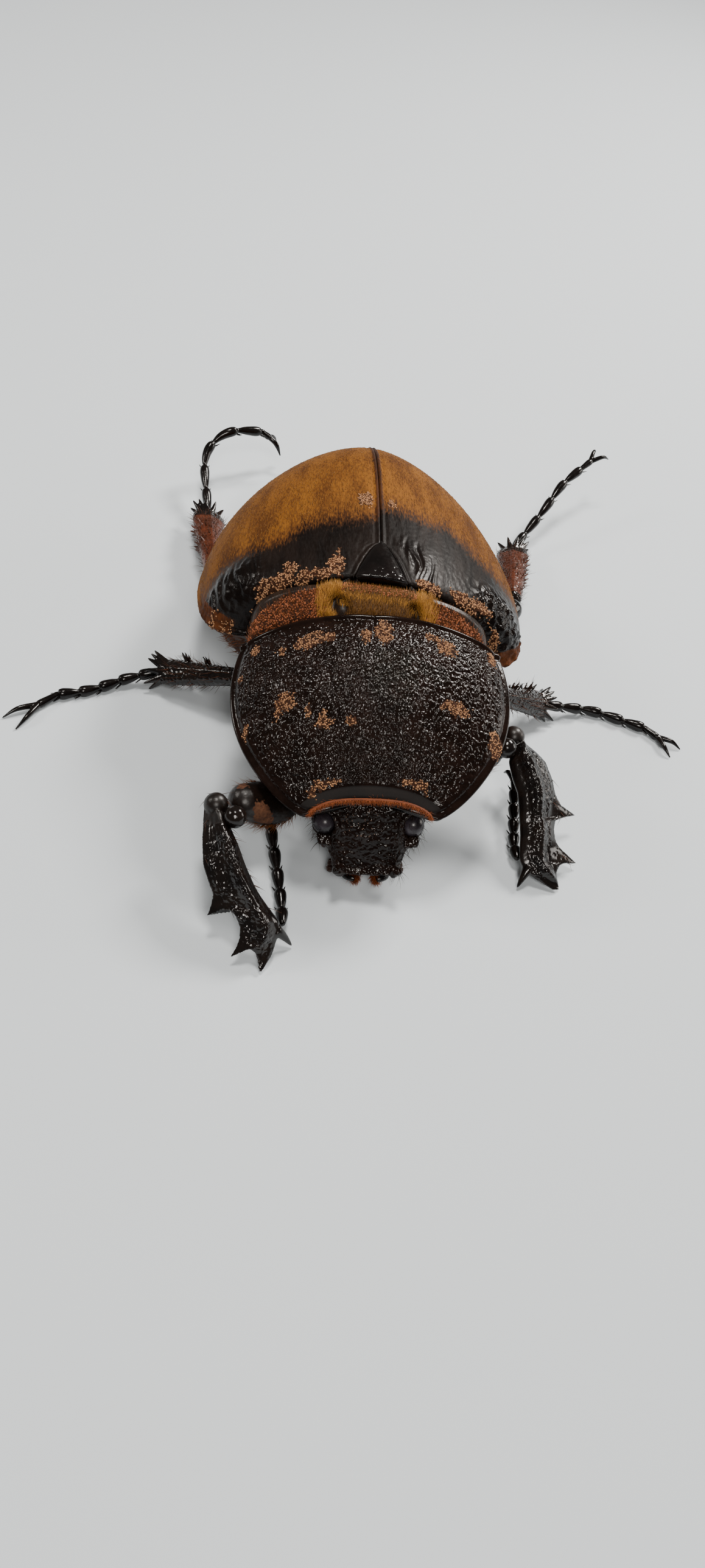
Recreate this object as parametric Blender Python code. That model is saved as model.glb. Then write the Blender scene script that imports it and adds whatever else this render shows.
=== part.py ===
"""A hornless female elephant beetle, life size, crouched with its legs spread.

The beetle faces -Y, its left side is +X and the floor is z = 0. Sizes are in
millimetres until a mesh is made, where MM turns them into metres.
Trunk shapes are drawn on a level trunk, which then tips tail down about a
point under the front feet. The fore body also rolls about its long axis.
"""
import math

import bmesh
import bpy
from mathutils import Vector

MM = 0.001
GAP = 0.35

# Frame: the floor point under the middle of the finished beetle.
CENTRE_X = 1.75
CENTRE_Y = 8.82

# Stance of the trunk.
TRUNK_PITCH = math.radians(3.72)
PITCH_PIVOT_Y = -44.0
FORE_ROLL = math.radians(6.3)
ROLL_PIVOT = Vector((0.0, -6.0, 20.0))

# Wing cases, both together.
CASES_HALF_WIDTH = 22.24
CASES_BASE_Y = -3.87
CASES_END_Y = 40.63
CASES_WIDEST_Y = 8.7
CASES_TOP_Y = 13.65
CASES_TOP_Z = 29.4
CASES_BASE_Z = 28.04
CASES_EDGE_FRONT_Z = 16.35
CASES_EDGE_REAR_Z = 6.3
CASE_WALL = 1.0
CASE_TIP_SHARE = 0.993
RIM_LIFT_START_Y = 22.0
RIM_LIFT = 5.2

CASE_SECTION_POWER = 1.76

# Pronotum, the shield behind the head. Its side edge is a curve of four terms.
SHIELD_FRONT_Y = -29.6
SHIELD_LENGTH = 21.0
SHIELD_FRONT_HALF_WIDTH = 7.9
SHIELD_HALF_WIDTH = 17.0
SHIELD_REAR_HALF_WIDTH = 15.84
SHIELD_WIDEST_SHARE = 0.7
SHIELD_WALL = 1.1
SHIELD_EDGE_Z = (12.3, 10.5, -5.5, 2.9)
SHIELD_CREST_FRONT_Z = 14.7
SHIELD_CREST_RISE = 10.9
SHIELD_CREST_POWER = 1.9
SHIELD_FRONT_RECESS = 1.4
SHIELD_REAR_RECESS = 0.6
# At its front edge the shield is flatter in the middle and steeper at the corners.
SHIELD_BROW_LENGTH = 0.25
SHIELD_DOME_POWERS = (0.42, 0.72)
SHIELD_RECESS_POWERS = (4.0, 2.0)

# Prothorax below the shield.
PROTHORAX_SHARES = (0.20, 0.995)
THROAT_FLOOR = 3.4
THROAT_LIFT = 2.2

# Waist between the shield and the wing cases: stations and their drop below the crest.
COLLAR_HALF_WIDTH = 15.2
COLLAR_STATIONS = ((-7.35, 2.1), (-6.2, 1.3), (-4.95, 0.7), (-4.25, 0.9))
COLLAR_CREST = ((-8.0, 25.9), (-4.0, 27.9))
COLLAR_SIDE_DROP = 7.2

# Scutellum, the triangle between the bases of the wing cases.
SCUTELLUM_HALF_WIDTH = 3.5
SCUTELLUM_BASE_Y = -3.95
SCUTELLUM_APEX_Y = 2.64
SCUTELLUM_MIDDLE_Y = -0.7
SCUTELLUM_BOTTOM_Z = 26.9
SCUTELLUM_TOP_Z = 28.35
SCUTELLUM_TILT = 0.12
NOTCH_BOTTOM_Z = 24.0
NOTCH_TOP_Z = 32.0

# Chest and abdomen under the wing cases.
CHEST_FLOOR = 2.6
BELLY_FLOOR = 2.2
CHEST_START_Y = -3.85
CHEST_LENGTH = 17.5
STERNITE_START_Y = 14.0
STERNITE_LENGTH = 4.6
STERNITE_GAP = 0.2
STERNITE_STEP = 0.35
STERNITE_COUNT = 5
ABDOMEN_TAIL = 2.7

# Pygidium, the end plate: each level is a push to the rear and a share of the full size.
PLATE_CENTRE = Vector((0.0, 38.05, 8.9))
PLATE_HALF_WIDTH = 9.8
PLATE_HALF_HEIGHT = 2.5
PLATE_BOW = 0.025
PLATE_LIFT = 0.012
PLATE_LEVELS = ((-0.5, 0.55), (-0.5, 0.97), (0.35, 1.0), (1.15, 0.72), (1.5, 0.32))

# Head: half widths and depths from the neck at 0 to the front edge at 1.
HEAD_HALF_WIDTHS = ((0.0, 5.3), (0.2, 6.35), (0.42, 6.45), (0.62, 5.2), (0.85, 4.25), (1.0, 3.95))
HEAD_DEPTHS = ((0.0, 2.6), (0.2, 5.2), (0.42, 5.7), (0.62, 5.0), (0.85, 3.2), (1.0, 1.5))
HEAD_NECK = Vector((0.0, -28.2, 13.2))
HEAD_FRONT = Vector((0.0, -32.1, 5.1))
HEAD_BACK = Vector((0.0, 0.88, -0.475))
HEAD_TOOTH_ROOT = Vector((3.35, -31.7, 5.4))
HEAD_TOOTH_TIP = Vector((3.85, -32.5, 6.2))
EYE_CENTRE = Vector((5.3, -28.8, 10.05))
EYE_RADIUS = 1.45

# Mouthparts and feelers of the left side.
MANDIBLE_ROUTE = ((2.0, -29.2, 3.6), (1.95, -30.5, 3.4), (1.25, -31.6, 3.7))
PALP_ROUTE = ((3.6, -28.3, 4.3), (4.2, -29.0, 3.4), (4.3, -29.8, 2.7))
ANTENNA_ROUTE = ((4.3, -26.9, 4.9), (5.1, -26.6, 4.3), (4.9, -25.7, 3.9), (4.0, -25.2, 3.8))
CLUB_STEPS = ((0.0, 0.0, 0.0), (-1.2, -0.3, -0.1), (-2.4, -1.0, -0.2))


def clear_scene():
    """Start from nothing but keep the file that is open."""
    for item in list(bpy.data.objects):
        bpy.data.objects.remove(item, do_unlink=True)


def finish(name, colour, roughness, metallic=0.0):
    """A plain surface of one colour for one sub-part."""
    made = bpy.data.materials.new(name)
    made.use_nodes = True
    surface = made.node_tree.nodes["Principled BSDF"]
    surface.inputs["Base Color"].default_value = (*colour, 1.0)
    surface.inputs["Roughness"].default_value = roughness
    surface.inputs["Metallic"].default_value = metallic
    return made


def tip_trunk(point):
    """From the level trunk to its place over the floor."""
    along = point.y - PITCH_PIVOT_Y
    y = along * math.cos(TRUNK_PITCH) + point.z * math.sin(TRUNK_PITCH) + PITCH_PIVOT_Y
    z = point.z * math.cos(TRUNK_PITCH) - along * math.sin(TRUNK_PITCH)
    return Vector((point.x, y, z))


def tip_fore(point):
    """From the level fore body to its place: rolled, then tipped with the trunk."""
    x = point.x - ROLL_PIVOT.x
    z = point.z - ROLL_PIVOT.z
    rolled_x = x * math.cos(FORE_ROLL) - z * math.sin(FORE_ROLL) + ROLL_PIVOT.x
    rolled_z = x * math.sin(FORE_ROLL) + z * math.cos(FORE_ROLL) + ROLL_PIVOT.z
    return tip_trunk(Vector((rolled_x, point.y, rolled_z)))


def stay(point):
    """For shapes that are drawn in place over the floor."""
    return point


def blend(low, high, share):
    return low + (high - low) * share


def ease(low, high, value):
    share = min(max((value - low) / (high - low), 0.0), 1.0)
    return share * share * (3.0 - 2.0 * share)


def body_from_rings(name, rings, place, surface):
    """A closed body through rings of equal counts, each end closed by a fan."""
    mesh = bmesh.new()
    loops = [[mesh.verts.new(place(Vector(p)) * MM) for p in ring] for ring in rings]
    count = len(loops[0])
    for near, far in zip(loops, loops[1:]):
        for i in range(count):
            j = (i + 1) % count
            mesh.faces.new((near[i], near[j], far[j], far[i]))
    for loop in (loops[0], loops[-1]):
        middle = sum((v.co for v in loop), Vector()) / count
        hub = mesh.verts.new(middle)
        for i in range(count):
            mesh.faces.new((loop[i], loop[(i + 1) % count], hub))
    return body_from_bmesh(name, mesh, surface)


def body_from_bmesh(name, mesh, surface):
    """Faces outwards, smooth, with its own material, as one named object."""
    bmesh.ops.triangulate(mesh, faces=mesh.faces[:])
    bmesh.ops.recalc_face_normals(mesh, faces=mesh.faces[:])
    if mesh.calc_volume(signed=True) < 0.0:
        bmesh.ops.reverse_faces(mesh, faces=mesh.faces[:])
    data = bpy.data.meshes.new(name)
    mesh.to_mesh(data)
    mesh.free()
    data.materials.append(surface)
    body = bpy.data.objects.new(name, data)
    bpy.context.scene.collection.objects.link(body)
    return body


def combine(body, others, operation):
    """One Boolean of a body with a collection of closed bodies, which then go."""
    group = bpy.data.collections.new("operands")
    bpy.context.scene.collection.children.link(group)
    for other in others:
        group.objects.link(other)
    step = body.modifiers.new("combine", "BOOLEAN")
    step.operation = operation
    step.operand_type = "COLLECTION"
    step.collection = group
    step.solver = "EXACT"
    bpy.context.view_layer.update()
    seen = body.evaluated_get(bpy.context.evaluated_depsgraph_get())
    result = bpy.data.meshes.new_from_object(seen)
    body.modifiers.remove(step)
    body.data = result
    for other in others:
        bpy.data.objects.remove(other, do_unlink=True)
    bpy.data.collections.remove(group)
    keep_main_surface(body)
    return body


def fuse(body, others):
    return combine(body, others, "UNION")


def keep_main_surface(body):
    """Drop every closed surface but the one that holds the most volume."""
    mesh = bmesh.new()
    mesh.from_mesh(body.data)
    bmesh.ops.triangulate(mesh, faces=mesh.faces[:])
    unseen = set(mesh.faces)
    surfaces = []
    while unseen:
        front = [unseen.pop()]
        found = []
        while front:
            face = front.pop()
            found.append(face)
            for edge in face.edges:
                for other in edge.link_faces:
                    if other in unseen:
                        unseen.remove(other)
                        front.append(other)
        surfaces.append(found)
    surfaces.sort(key=enclosed_volume, reverse=True)
    scraps = [face for found in surfaces[1:] for face in found]
    bmesh.ops.delete(mesh, geom=scraps, context="FACES")
    mesh.to_mesh(body.data)
    mesh.free()


def enclosed_volume(faces):
    total = 0.0
    for face in faces:
        a, b, c = (v.co for v in face.verts)
        total += a.dot(b.cross(c)) / 6.0
    return total


def case_half_width(y, inset):
    """Half the width of both wing cases at a station y."""
    full = CASES_HALF_WIDTH - inset
    if y > CASES_WIDEST_Y:
        share = (y - CASES_WIDEST_Y) / (CASES_END_Y - inset - CASES_WIDEST_Y)
        return full * max(1.0 - share ** 2.06, 0.0) ** 0.485
    share = (CASES_WIDEST_Y - y) / (CASES_WIDEST_Y - CASES_BASE_Y)
    shoulder = (CASES_WIDEST_Y - y) / (CASES_WIDEST_Y - CASES_BASE_Y + 0.3)
    return full * (1.0 - 0.10 * share * share) * (1.0 - shoulder ** 9) ** 0.25


def case_edge_z(y):
    share = (y - CASES_BASE_Y) / (CASES_END_Y - CASES_BASE_Y)
    return blend(CASES_EDGE_FRONT_Z, CASES_EDGE_REAR_Z, share)


def case_crest_z(y, inset):
    """Height of the seam between the wing cases at a station y."""
    edge = case_edge_z(y)
    if y > CASES_TOP_Y:
        share = (y - CASES_TOP_Y) / (CASES_END_Y - inset - CASES_TOP_Y)
        return edge + (CASES_TOP_Z - inset - edge) * max(1.0 - share ** 2.51, 0.0) ** 0.398
    share = (CASES_TOP_Y - y) / (CASES_TOP_Y - CASES_BASE_Y)
    return blend(CASES_TOP_Z, CASES_BASE_Z, share * share) - inset


def case_section_z(y, share, inset):
    """Height over the trunk at a share of the half width, 0 seam to 1 side."""
    edge = case_edge_z(y)
    crest = case_crest_z(y, inset)
    return edge + (crest - edge) * max(1.0 - abs(share) ** CASE_SECTION_POWER, 0.0) ** 0.5


def case_rim_share(y, inset):
    """Share of the half width at which the rim of a case lies."""
    lift = RIM_LIFT * max((y - RIM_LIFT_START_Y) / (CASES_END_Y - RIM_LIFT_START_Y), 0.0) ** 2
    rise = case_crest_z(y, inset) - case_edge_z(y)
    drop = min(lift / rise, 1.0)
    return (1.0 - drop * drop) ** (1.0 / CASE_SECTION_POWER)


def case_stations(count, inset):
    """Stations along a wing case, closer together towards both ends."""
    reach = (CASES_END_Y - inset - CASES_BASE_Y) * CASE_TIP_SHARE
    return [CASES_BASE_Y + reach * (1.0 - math.cos(math.pi * i / (count - 1))) / 2
            for i in range(count)]


def case_shares(count):
    """Shares across a wing case, closer together towards the side."""
    return [math.sin(i / (count - 1) * math.pi / 2) for i in range(count)]


def wing_case(name, side, surface):
    """One domed elytron: an outer and an inner skin joined round the rim."""
    rows = 19
    columns = 11
    mesh = bmesh.new()
    skins = []
    for inset in (0.0, CASE_WALL):
        skin = []
        for y in case_stations(rows, inset):
            half = case_half_width(y, inset)
            rim = case_rim_share(y, inset)
            row = []
            for share in case_shares(columns):
                x = GAP / 2 + (half - GAP / 2) * share * rim
                z = case_section_z(y, share * rim, inset)
                row.append(mesh.verts.new(tip_trunk(Vector((side * x, y, z))) * MM))
            skin.append(row)
        skins.append(skin)
    for skin in skins:
        for i in range(rows - 1):
            for j in range(columns - 1):
                mesh.faces.new((skin[i][j], skin[i][j + 1], skin[i + 1][j + 1], skin[i + 1][j]))
    outer, inner = skins
    for i in range(rows - 1):
        for j in (0, columns - 1):
            mesh.faces.new((outer[i][j], outer[i + 1][j], inner[i + 1][j], inner[i][j]))
    for j in range(columns - 1):
        for i in (0, rows - 1):
            mesh.faces.new((outer[i][j], outer[i][j + 1], inner[i][j + 1], inner[i][j]))
    return body_from_bmesh(name, mesh, surface)


def floor_to_trunk(y, height):
    """Level-trunk height of a point that lies a given height over the floor."""
    return height + math.tan(TRUNK_PITCH) * (y - PITCH_PIVOT_Y)


def trunk_ring(y, inset, columns, belly):
    """A section of the hind body: under the cases above, keeled belly below."""
    half = case_half_width(y, inset)
    shares = case_shares(columns)
    upper = [-s for s in reversed(shares)] + shares[1:]
    ring = [(half * s, y, case_section_z(y, s, inset)) for s in upper]
    edge = case_edge_z(y)
    low = floor_to_trunk(y, belly)
    for s in reversed(upper[1:-1]):
        depth = (1.0 - abs(s) ** 2.2) ** 0.75
        ring.append((half * s * 0.985, y, edge - (edge - low) * depth))
    return ring


def hind_section(name, stations, inset, surface, belly, tail=0.0):
    """A length of the hind body, whose last section may close in a low dome."""
    rings = [trunk_ring(y, inset, 9, belly(y)) for y in stations]
    if tail:
        middle = sum((Vector(p) for p in rings[-1]), Vector()) / len(rings[-1])
        rings.append([middle.lerp(Vector(p), 0.5) + Vector((0.0, tail, 0.0)) for p in rings[-1]])
    return body_from_rings(name, rings, tip_trunk, surface)


def chest_belly(y):
    return blend(CHEST_FLOOR, BELLY_FLOOR, ease(CHEST_START_Y, STERNITE_START_Y, y))


def abdomen_belly(y):
    """Rings of the abdomen stand out as low steps, one at each sternite."""
    sternite = (y - STERNITE_START_Y) / STERNITE_LENGTH
    step = STERNITE_STEP * (sternite - math.floor(sternite))
    return BELLY_FLOOR - step + 1.2 * ease(30.0, 38.0, y)


def shield_half_width(share):
    """Half width of the pronotum, from the front at 0 to the rear at 1."""
    if share < SHIELD_WIDEST_SHARE:
        rise = math.sin(math.pi / 2 * (share / SHIELD_WIDEST_SHARE) ** 0.75)
        return blend(SHIELD_FRONT_HALF_WIDTH, SHIELD_HALF_WIDTH, rise)
    fall = ((share - SHIELD_WIDEST_SHARE) / (1.0 - SHIELD_WIDEST_SHARE)) ** 2
    return blend(SHIELD_HALF_WIDTH, SHIELD_REAR_HALF_WIDTH, fall)


def shield_point(share, across, inset):
    """A point of the pronotum's dome, or of one that lies inset within it."""
    half = shield_half_width(share) - inset
    edge = sum(term * share ** power for power, term in enumerate(SHIELD_EDGE_Z))
    rise = SHIELD_CREST_RISE * (1.0 - (1.0 - share) ** SHIELD_CREST_POWER)
    crest = SHIELD_CREST_FRONT_Z + rise - inset
    y = SHIELD_FRONT_Y + SHIELD_LENGTH * share
    behind = ease(0.0, SHIELD_BROW_LENGTH, share)
    recess = 1.0 - abs(across) ** blend(*SHIELD_RECESS_POWERS, behind)
    y += blend(SHIELD_FRONT_RECESS, SHIELD_REAR_RECESS, share) * recess
    dome = max(1.0 - across * across, 0.0) ** blend(*SHIELD_DOME_POWERS, behind)
    return Vector((half * across, y, blend(edge, crest, dome)))


def pronotum(surface):
    """The shield: a dome of even wall with its front and rear left open."""
    rows = 15
    columns = 19
    mesh = bmesh.new()
    skins = []
    for inset in (0.0, SHIELD_WALL):
        skin = []
        for i in range(rows):
            share = i / (rows - 1)
            row = []
            for j in range(columns):
                across = math.sin((j / (columns - 1) - 0.5) * math.pi)
                place = tip_fore(shield_point(share, across, inset))
                row.append(mesh.verts.new(place * MM))
            skin.append(row)
        skins.append(skin)
    for skin in skins:
        for i in range(rows - 1):
            for j in range(columns - 1):
                mesh.faces.new((skin[i][j], skin[i][j + 1], skin[i + 1][j + 1], skin[i + 1][j]))
    outer, inner = skins
    for i in range(rows - 1):
        for j in (0, columns - 1):
            mesh.faces.new((outer[i][j], outer[i + 1][j], inner[i + 1][j], inner[i][j]))
    for j in range(columns - 1):
        for i in (0, rows - 1):
            mesh.faces.new((outer[i][j], outer[i][j + 1], inner[i][j + 1], inner[i][j]))
    return body_from_bmesh("pronotum", mesh, surface)


def prothorax(surface):
    """The fore body below the shield, down to the throat between the fore legs."""
    inset = SHIELD_WALL + GAP
    rings = []
    for i in range(10):
        share = blend(*PROTHORAX_SHARES, i / 9)
        across = [math.sin((j / 14 - 0.5) * math.pi) for j in range(15)]
        ring = [shield_point(share, a, inset) for a in across]
        side = shield_point(share, 1.0, inset)
        low = floor_to_trunk(side.y, THROAT_FLOOR) + THROAT_LIFT * ease(0.5, 0.2, share)
        for a in reversed(across[1:-1]):
            depth = (1.0 - a * a) ** 0.9
            y = shield_point(share, a, inset).y
            ring.append(Vector((side.x * a * 0.985, y, side.z - (side.z - low) * depth)))
        rings.append(ring)
    return body_from_rings("prothorax", rings, tip_fore, surface)


def mesothorax(surface):
    """The waist, a short collar of dense hair between shield and wing cases."""
    (start_y, start_z), (end_y, end_z) = COLLAR_CREST
    rings = []
    for y, drop in COLLAR_STATIONS:
        crest = blend(start_z, end_z, (y - start_y) / (end_y - start_y)) - drop
        low = floor_to_trunk(y, CHEST_FLOOR + 0.6)
        side = crest - COLLAR_SIDE_DROP
        ring = []
        for j in range(28):
            angle = 2 * math.pi * j / 28
            c = math.cos(angle)
            s = math.sin(angle)
            reach = (crest - side) if s >= 0.0 else (side - low)
            ring.append((COLLAR_HALF_WIDTH * math.copysign(abs(c) ** 0.8, c), y,
                         side + reach * math.copysign(abs(s) ** 0.9, s)))
        rings.append(ring)
    return body_from_rings("mesothorax", rings, tip_trunk, surface)


def scutellum_prism(name, grow, bottom, top, surface):
    """The small triangle between the bases of the wing cases."""
    outline = []
    base_half = SCUTELLUM_HALF_WIDTH + grow
    base_y = SCUTELLUM_BASE_Y - grow
    apex_y = SCUTELLUM_APEX_Y + grow * 1.6
    for j in range(9):
        angle = math.pi * j / 8
        side = math.copysign(abs(math.cos(angle)) ** 1.25, math.cos(angle))
        outline.append((base_half * side, blend(base_y + 0.6, apex_y, math.sin(angle) ** 1.5)))
    outline += [(-base_half, base_y), (base_half, base_y)]
    rings = []
    for level, shrink in ((bottom, 1.0), (top - 0.35, 1.0), (top, 0.86)):
        ring = []
        for x, y in outline:
            tilt = SCUTELLUM_TILT * (y - SCUTELLUM_BASE_Y)
            ring.append((x * shrink, blend(SCUTELLUM_MIDDLE_Y, y, shrink), level + tilt))
        rings.append(ring)
    return body_from_rings(name, rings, tip_trunk, surface)


def pygidium(surface):
    """The hairy end plate under the tips of the wing cases."""
    rings = []
    for push, size in PLATE_LEVELS:
        ring = []
        for j in range(24):
            angle = 2 * math.pi * j / 24
            x = PLATE_HALF_WIDTH * size * math.cos(angle)
            z = PLATE_HALF_HEIGHT * size * math.sin(angle)
            y = push - PLATE_BOW * x * x
            ring.append(PLATE_CENTRE + Vector((x, y, z + PLATE_LIFT * x * x * size)))
        rings.append(ring)
    return body_from_rings("pygidium", rings, tip_trunk, surface)


def head_section(share, grow):
    """A section of the bent head, from the neck at 0 to the front edge at 1."""
    half = between(HEAD_HALF_WIDTHS, share) + grow
    depth = between(HEAD_DEPTHS, share) + 2 * grow
    brow = HEAD_NECK.lerp(HEAD_FRONT, share) - HEAD_BACK * grow
    middle = brow + HEAD_BACK * depth / 2
    ring = []
    for j in range(18):
        angle = 2 * math.pi * j / 18
        c = math.cos(angle)
        s = math.sin(angle)
        side = half * math.copysign(abs(c) ** 0.75, c)
        rise = depth / 2 * math.copysign(abs(s) ** 0.85, s)
        ring.append(middle + Vector((side, 0.0, 0.0)) - HEAD_BACK * rise)
    return ring


def between(table, share):
    """Value at a share, on straight lines between the table's pairs."""
    for (low, near), (high, far) in zip(table, table[1:]):
        if share <= high:
            return blend(near, far, (share - low) / (high - low))
    return table[-1][1]


def head_body(name, grow, surface):
    rings = [head_section(i / 10, grow) for i in range(11)]
    return body_from_rings(name, rings, tip_fore, surface)


def ball(name, centre, radii, place, surface, rings=6, sides=12):
    """An ellipsoid with its long axes along the world's."""
    loops = []
    for i in range(1, rings):
        tilt = math.pi * i / rings
        loops.append([
            (centre[0] + radii[0] * math.sin(tilt) * math.cos(2 * math.pi * j / sides),
             centre[1] + radii[1] * math.sin(tilt) * math.sin(2 * math.pi * j / sides),
             centre[2] + radii[2] * math.cos(tilt)) for j in range(sides)])
    return body_from_rings(name, loops, place, surface)


def smooth_route(points, per_span):
    """A smooth line through a few places, as a list of points."""
    line = []
    ends = [points[0] * 2 - points[1]] + points + [points[-1] * 2 - points[-2]]
    for a, b, c, d in zip(ends, ends[1:], ends[2:], ends[3:]):
        for i in range(per_span):
            t = i / per_span
            line.append(0.5 * ((2 * b) + (c - a) * t + (2 * a - 5 * b + 4 * c - d) * t * t
                               + (3 * b - a - 3 * c + d) * t ** 3))
    line.append(points[-1])
    return line


def limb(name, line, widths, heights, side_hint, surface, sides=8, place=stay, grow=0.0,
         floor=None):
    """A body along a line, with an oval section whose width lies along the hint."""
    rings = []
    last = len(line) - 1
    for i, point in enumerate(line):
        ahead = line[min(i + 1, last)]
        behind = line[max(i - 1, 0)]
        along = (ahead - behind).normalized()
        side = (side_hint - along * side_hint.dot(along)).normalized()
        up = side.cross(along)
        share = i / last
        wide = between(widths, share) + grow
        high = between(heights, share) + grow
        ring = []
        for j in range(sides):
            angle = 2 * math.pi * (j + 0.5) / sides
            spot = point + side * wide * math.cos(angle) + up * high * math.sin(angle)
            if floor is not None:
                spot.z = max(spot.z, floor)
            ring.append(spot)
        rings.append(ring)
    return body_from_rings(name, rings, place, surface)


def thorn(name, root, tip, radius, surface, sides=6, blunt=0.16, place=stay):
    """A tapered spine whose root is sunk in what it grows from."""
    line = [root, (root + tip) / 2, tip]
    profile = ((0.0, radius), (0.5, radius * 0.72), (1.0, blunt))
    axis = (tip - root).normalized()
    hint = Vector((0.0, 0.0, 1.0)) if abs(axis.z) < 0.8 else Vector((1.0, 0.0, 0.0))
    return limb(name, line, profile, profile, hint, surface, sides=sides, place=place, floor=0.0)


# The fore shins are toothed plates: rows of an outer and an inner edge point, knee to tip.
BLADE_RIGHT = (
    ((-18.2, -27.5, 9.7), (-16.2, -28.2, 9.7)), ((-18.5, -28.2, 9.3), (-15.7, -29.4, 9.3)),
    ((-18.3, -32.0, 8.0), (-14.0, -32.4, 8.2)), ((-17.9, -34.7, 7.0), (-12.9, -34.4, 7.0)),
    ((-17.0, -36.5, 6.0), (-11.6, -36.3, 5.8)), ((-16.4, -37.4, 5.3), (-10.9, -37.0, 5.2)),
    ((-16.5, -38.2, 4.3), (-10.4, -37.4, 4.8)), ((-16.8, -39.1, 3.2), (-9.9, -37.9, 4.5)),
    ((-15.5, -38.6, 4.2), (-9.6, -38.1, 4.3)), ((-14.4, -38.9, 4.7), (-9.3, -38.4, 4.1)),
    ((-13.6, -39.6, 4.5), (-9.0, -38.6, 3.9)), ((-13.0, -40.4, 3.7), (-8.5, -39.1, 3.6)),
    ((-12.9, -41.5, 2.9), (-8.1, -39.6, 3.0)), ((-13.2, -42.3, 2.1), (-8.2, -40.1, 2.6)),
    ((-13.8, -43.2, 1.2), (-8.4, -40.5, 2.3)), ((-12.4, -42.3, 1.9), (-8.5, -40.7, 2.1)),
    ((-11.6, -42.3, 2.2), (-8.6, -41.0, 1.9)), ((-10.9, -42.6, 1.9), (-8.7, -41.5, 1.7)),
    ((-10.5, -43.2, 1.2), (-8.9, -42.3, 1.3)), ((-10.3, -44.3, 0.4), (-10.0, -44.4, 0.4)))
BLADE_LEFT = (
    ((21.2, -11.1, 10.3), (20.0, -12.2, 10.2)), ((21.8, -12.5, 10.2), (19.4, -15.4, 9.5)),
    ((23.3, -13.2, 9.6), (19.6, -16.0, 9.1)), ((24.6, -14.0, 8.9), (20.1, -17.1, 8.2)),
    ((25.7, -15.7, 7.6), (20.9, -18.4, 7.2)), ((26.4, -17.0, 6.2), (21.2, -19.8, 6.2)),
    ((27.4, -17.6, 5.0), (21.3, -20.7, 5.7)), ((30.0, -17.6, 3.2), (21.4, -21.5, 5.2)),
    ((28.3, -18.6, 3.8), (21.5, -21.7, 5.0)), ((26.6, -19.9, 4.4), (21.5, -22.0, 4.8)),
    ((26.4, -21.1, 4.0), (21.6, -22.9, 4.3)), ((26.7, -22.2, 3.2), (21.6, -24.0, 3.7)),
    ((27.5, -22.7, 2.4), (21.6, -24.8, 3.3)), ((28.3, -23.1, 2.0), (21.6, -25.3, 3.0)),
    ((30.0, -24.1, 1.2), (21.8, -26.0, 2.6)), ((28.3, -24.4, 1.7), (22.1, -26.4, 2.3)),
    ((27.3, -25.2, 1.8), (22.4, -26.8, 2.1)), ((26.9, -26.2, 1.4), (22.9, -27.1, 1.9)),
    ((27.2, -27.1, 0.7), (24.8, -27.7, 1.1)), ((27.4, -28.0, 0.4), (26.4, -28.2, 0.5)))
BLADE_HALF_THICKNESS = ((0.0, 0.5), (0.05, 1.2), (0.15, 1.5), (0.4, 1.45), (0.7, 1.0),
                        (0.9, 0.7), (1.0, 0.4))
# Loops of the plate from its lower to its upper side: how far in, and share of the height.
BLADE_LOOPS = ((0.32, -0.85), (0.10, -0.5), (0.0, 0.0), (0.10, 0.5), (0.32, 0.85))
BLADE_SEAT_RADIUS = 1.45

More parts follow.
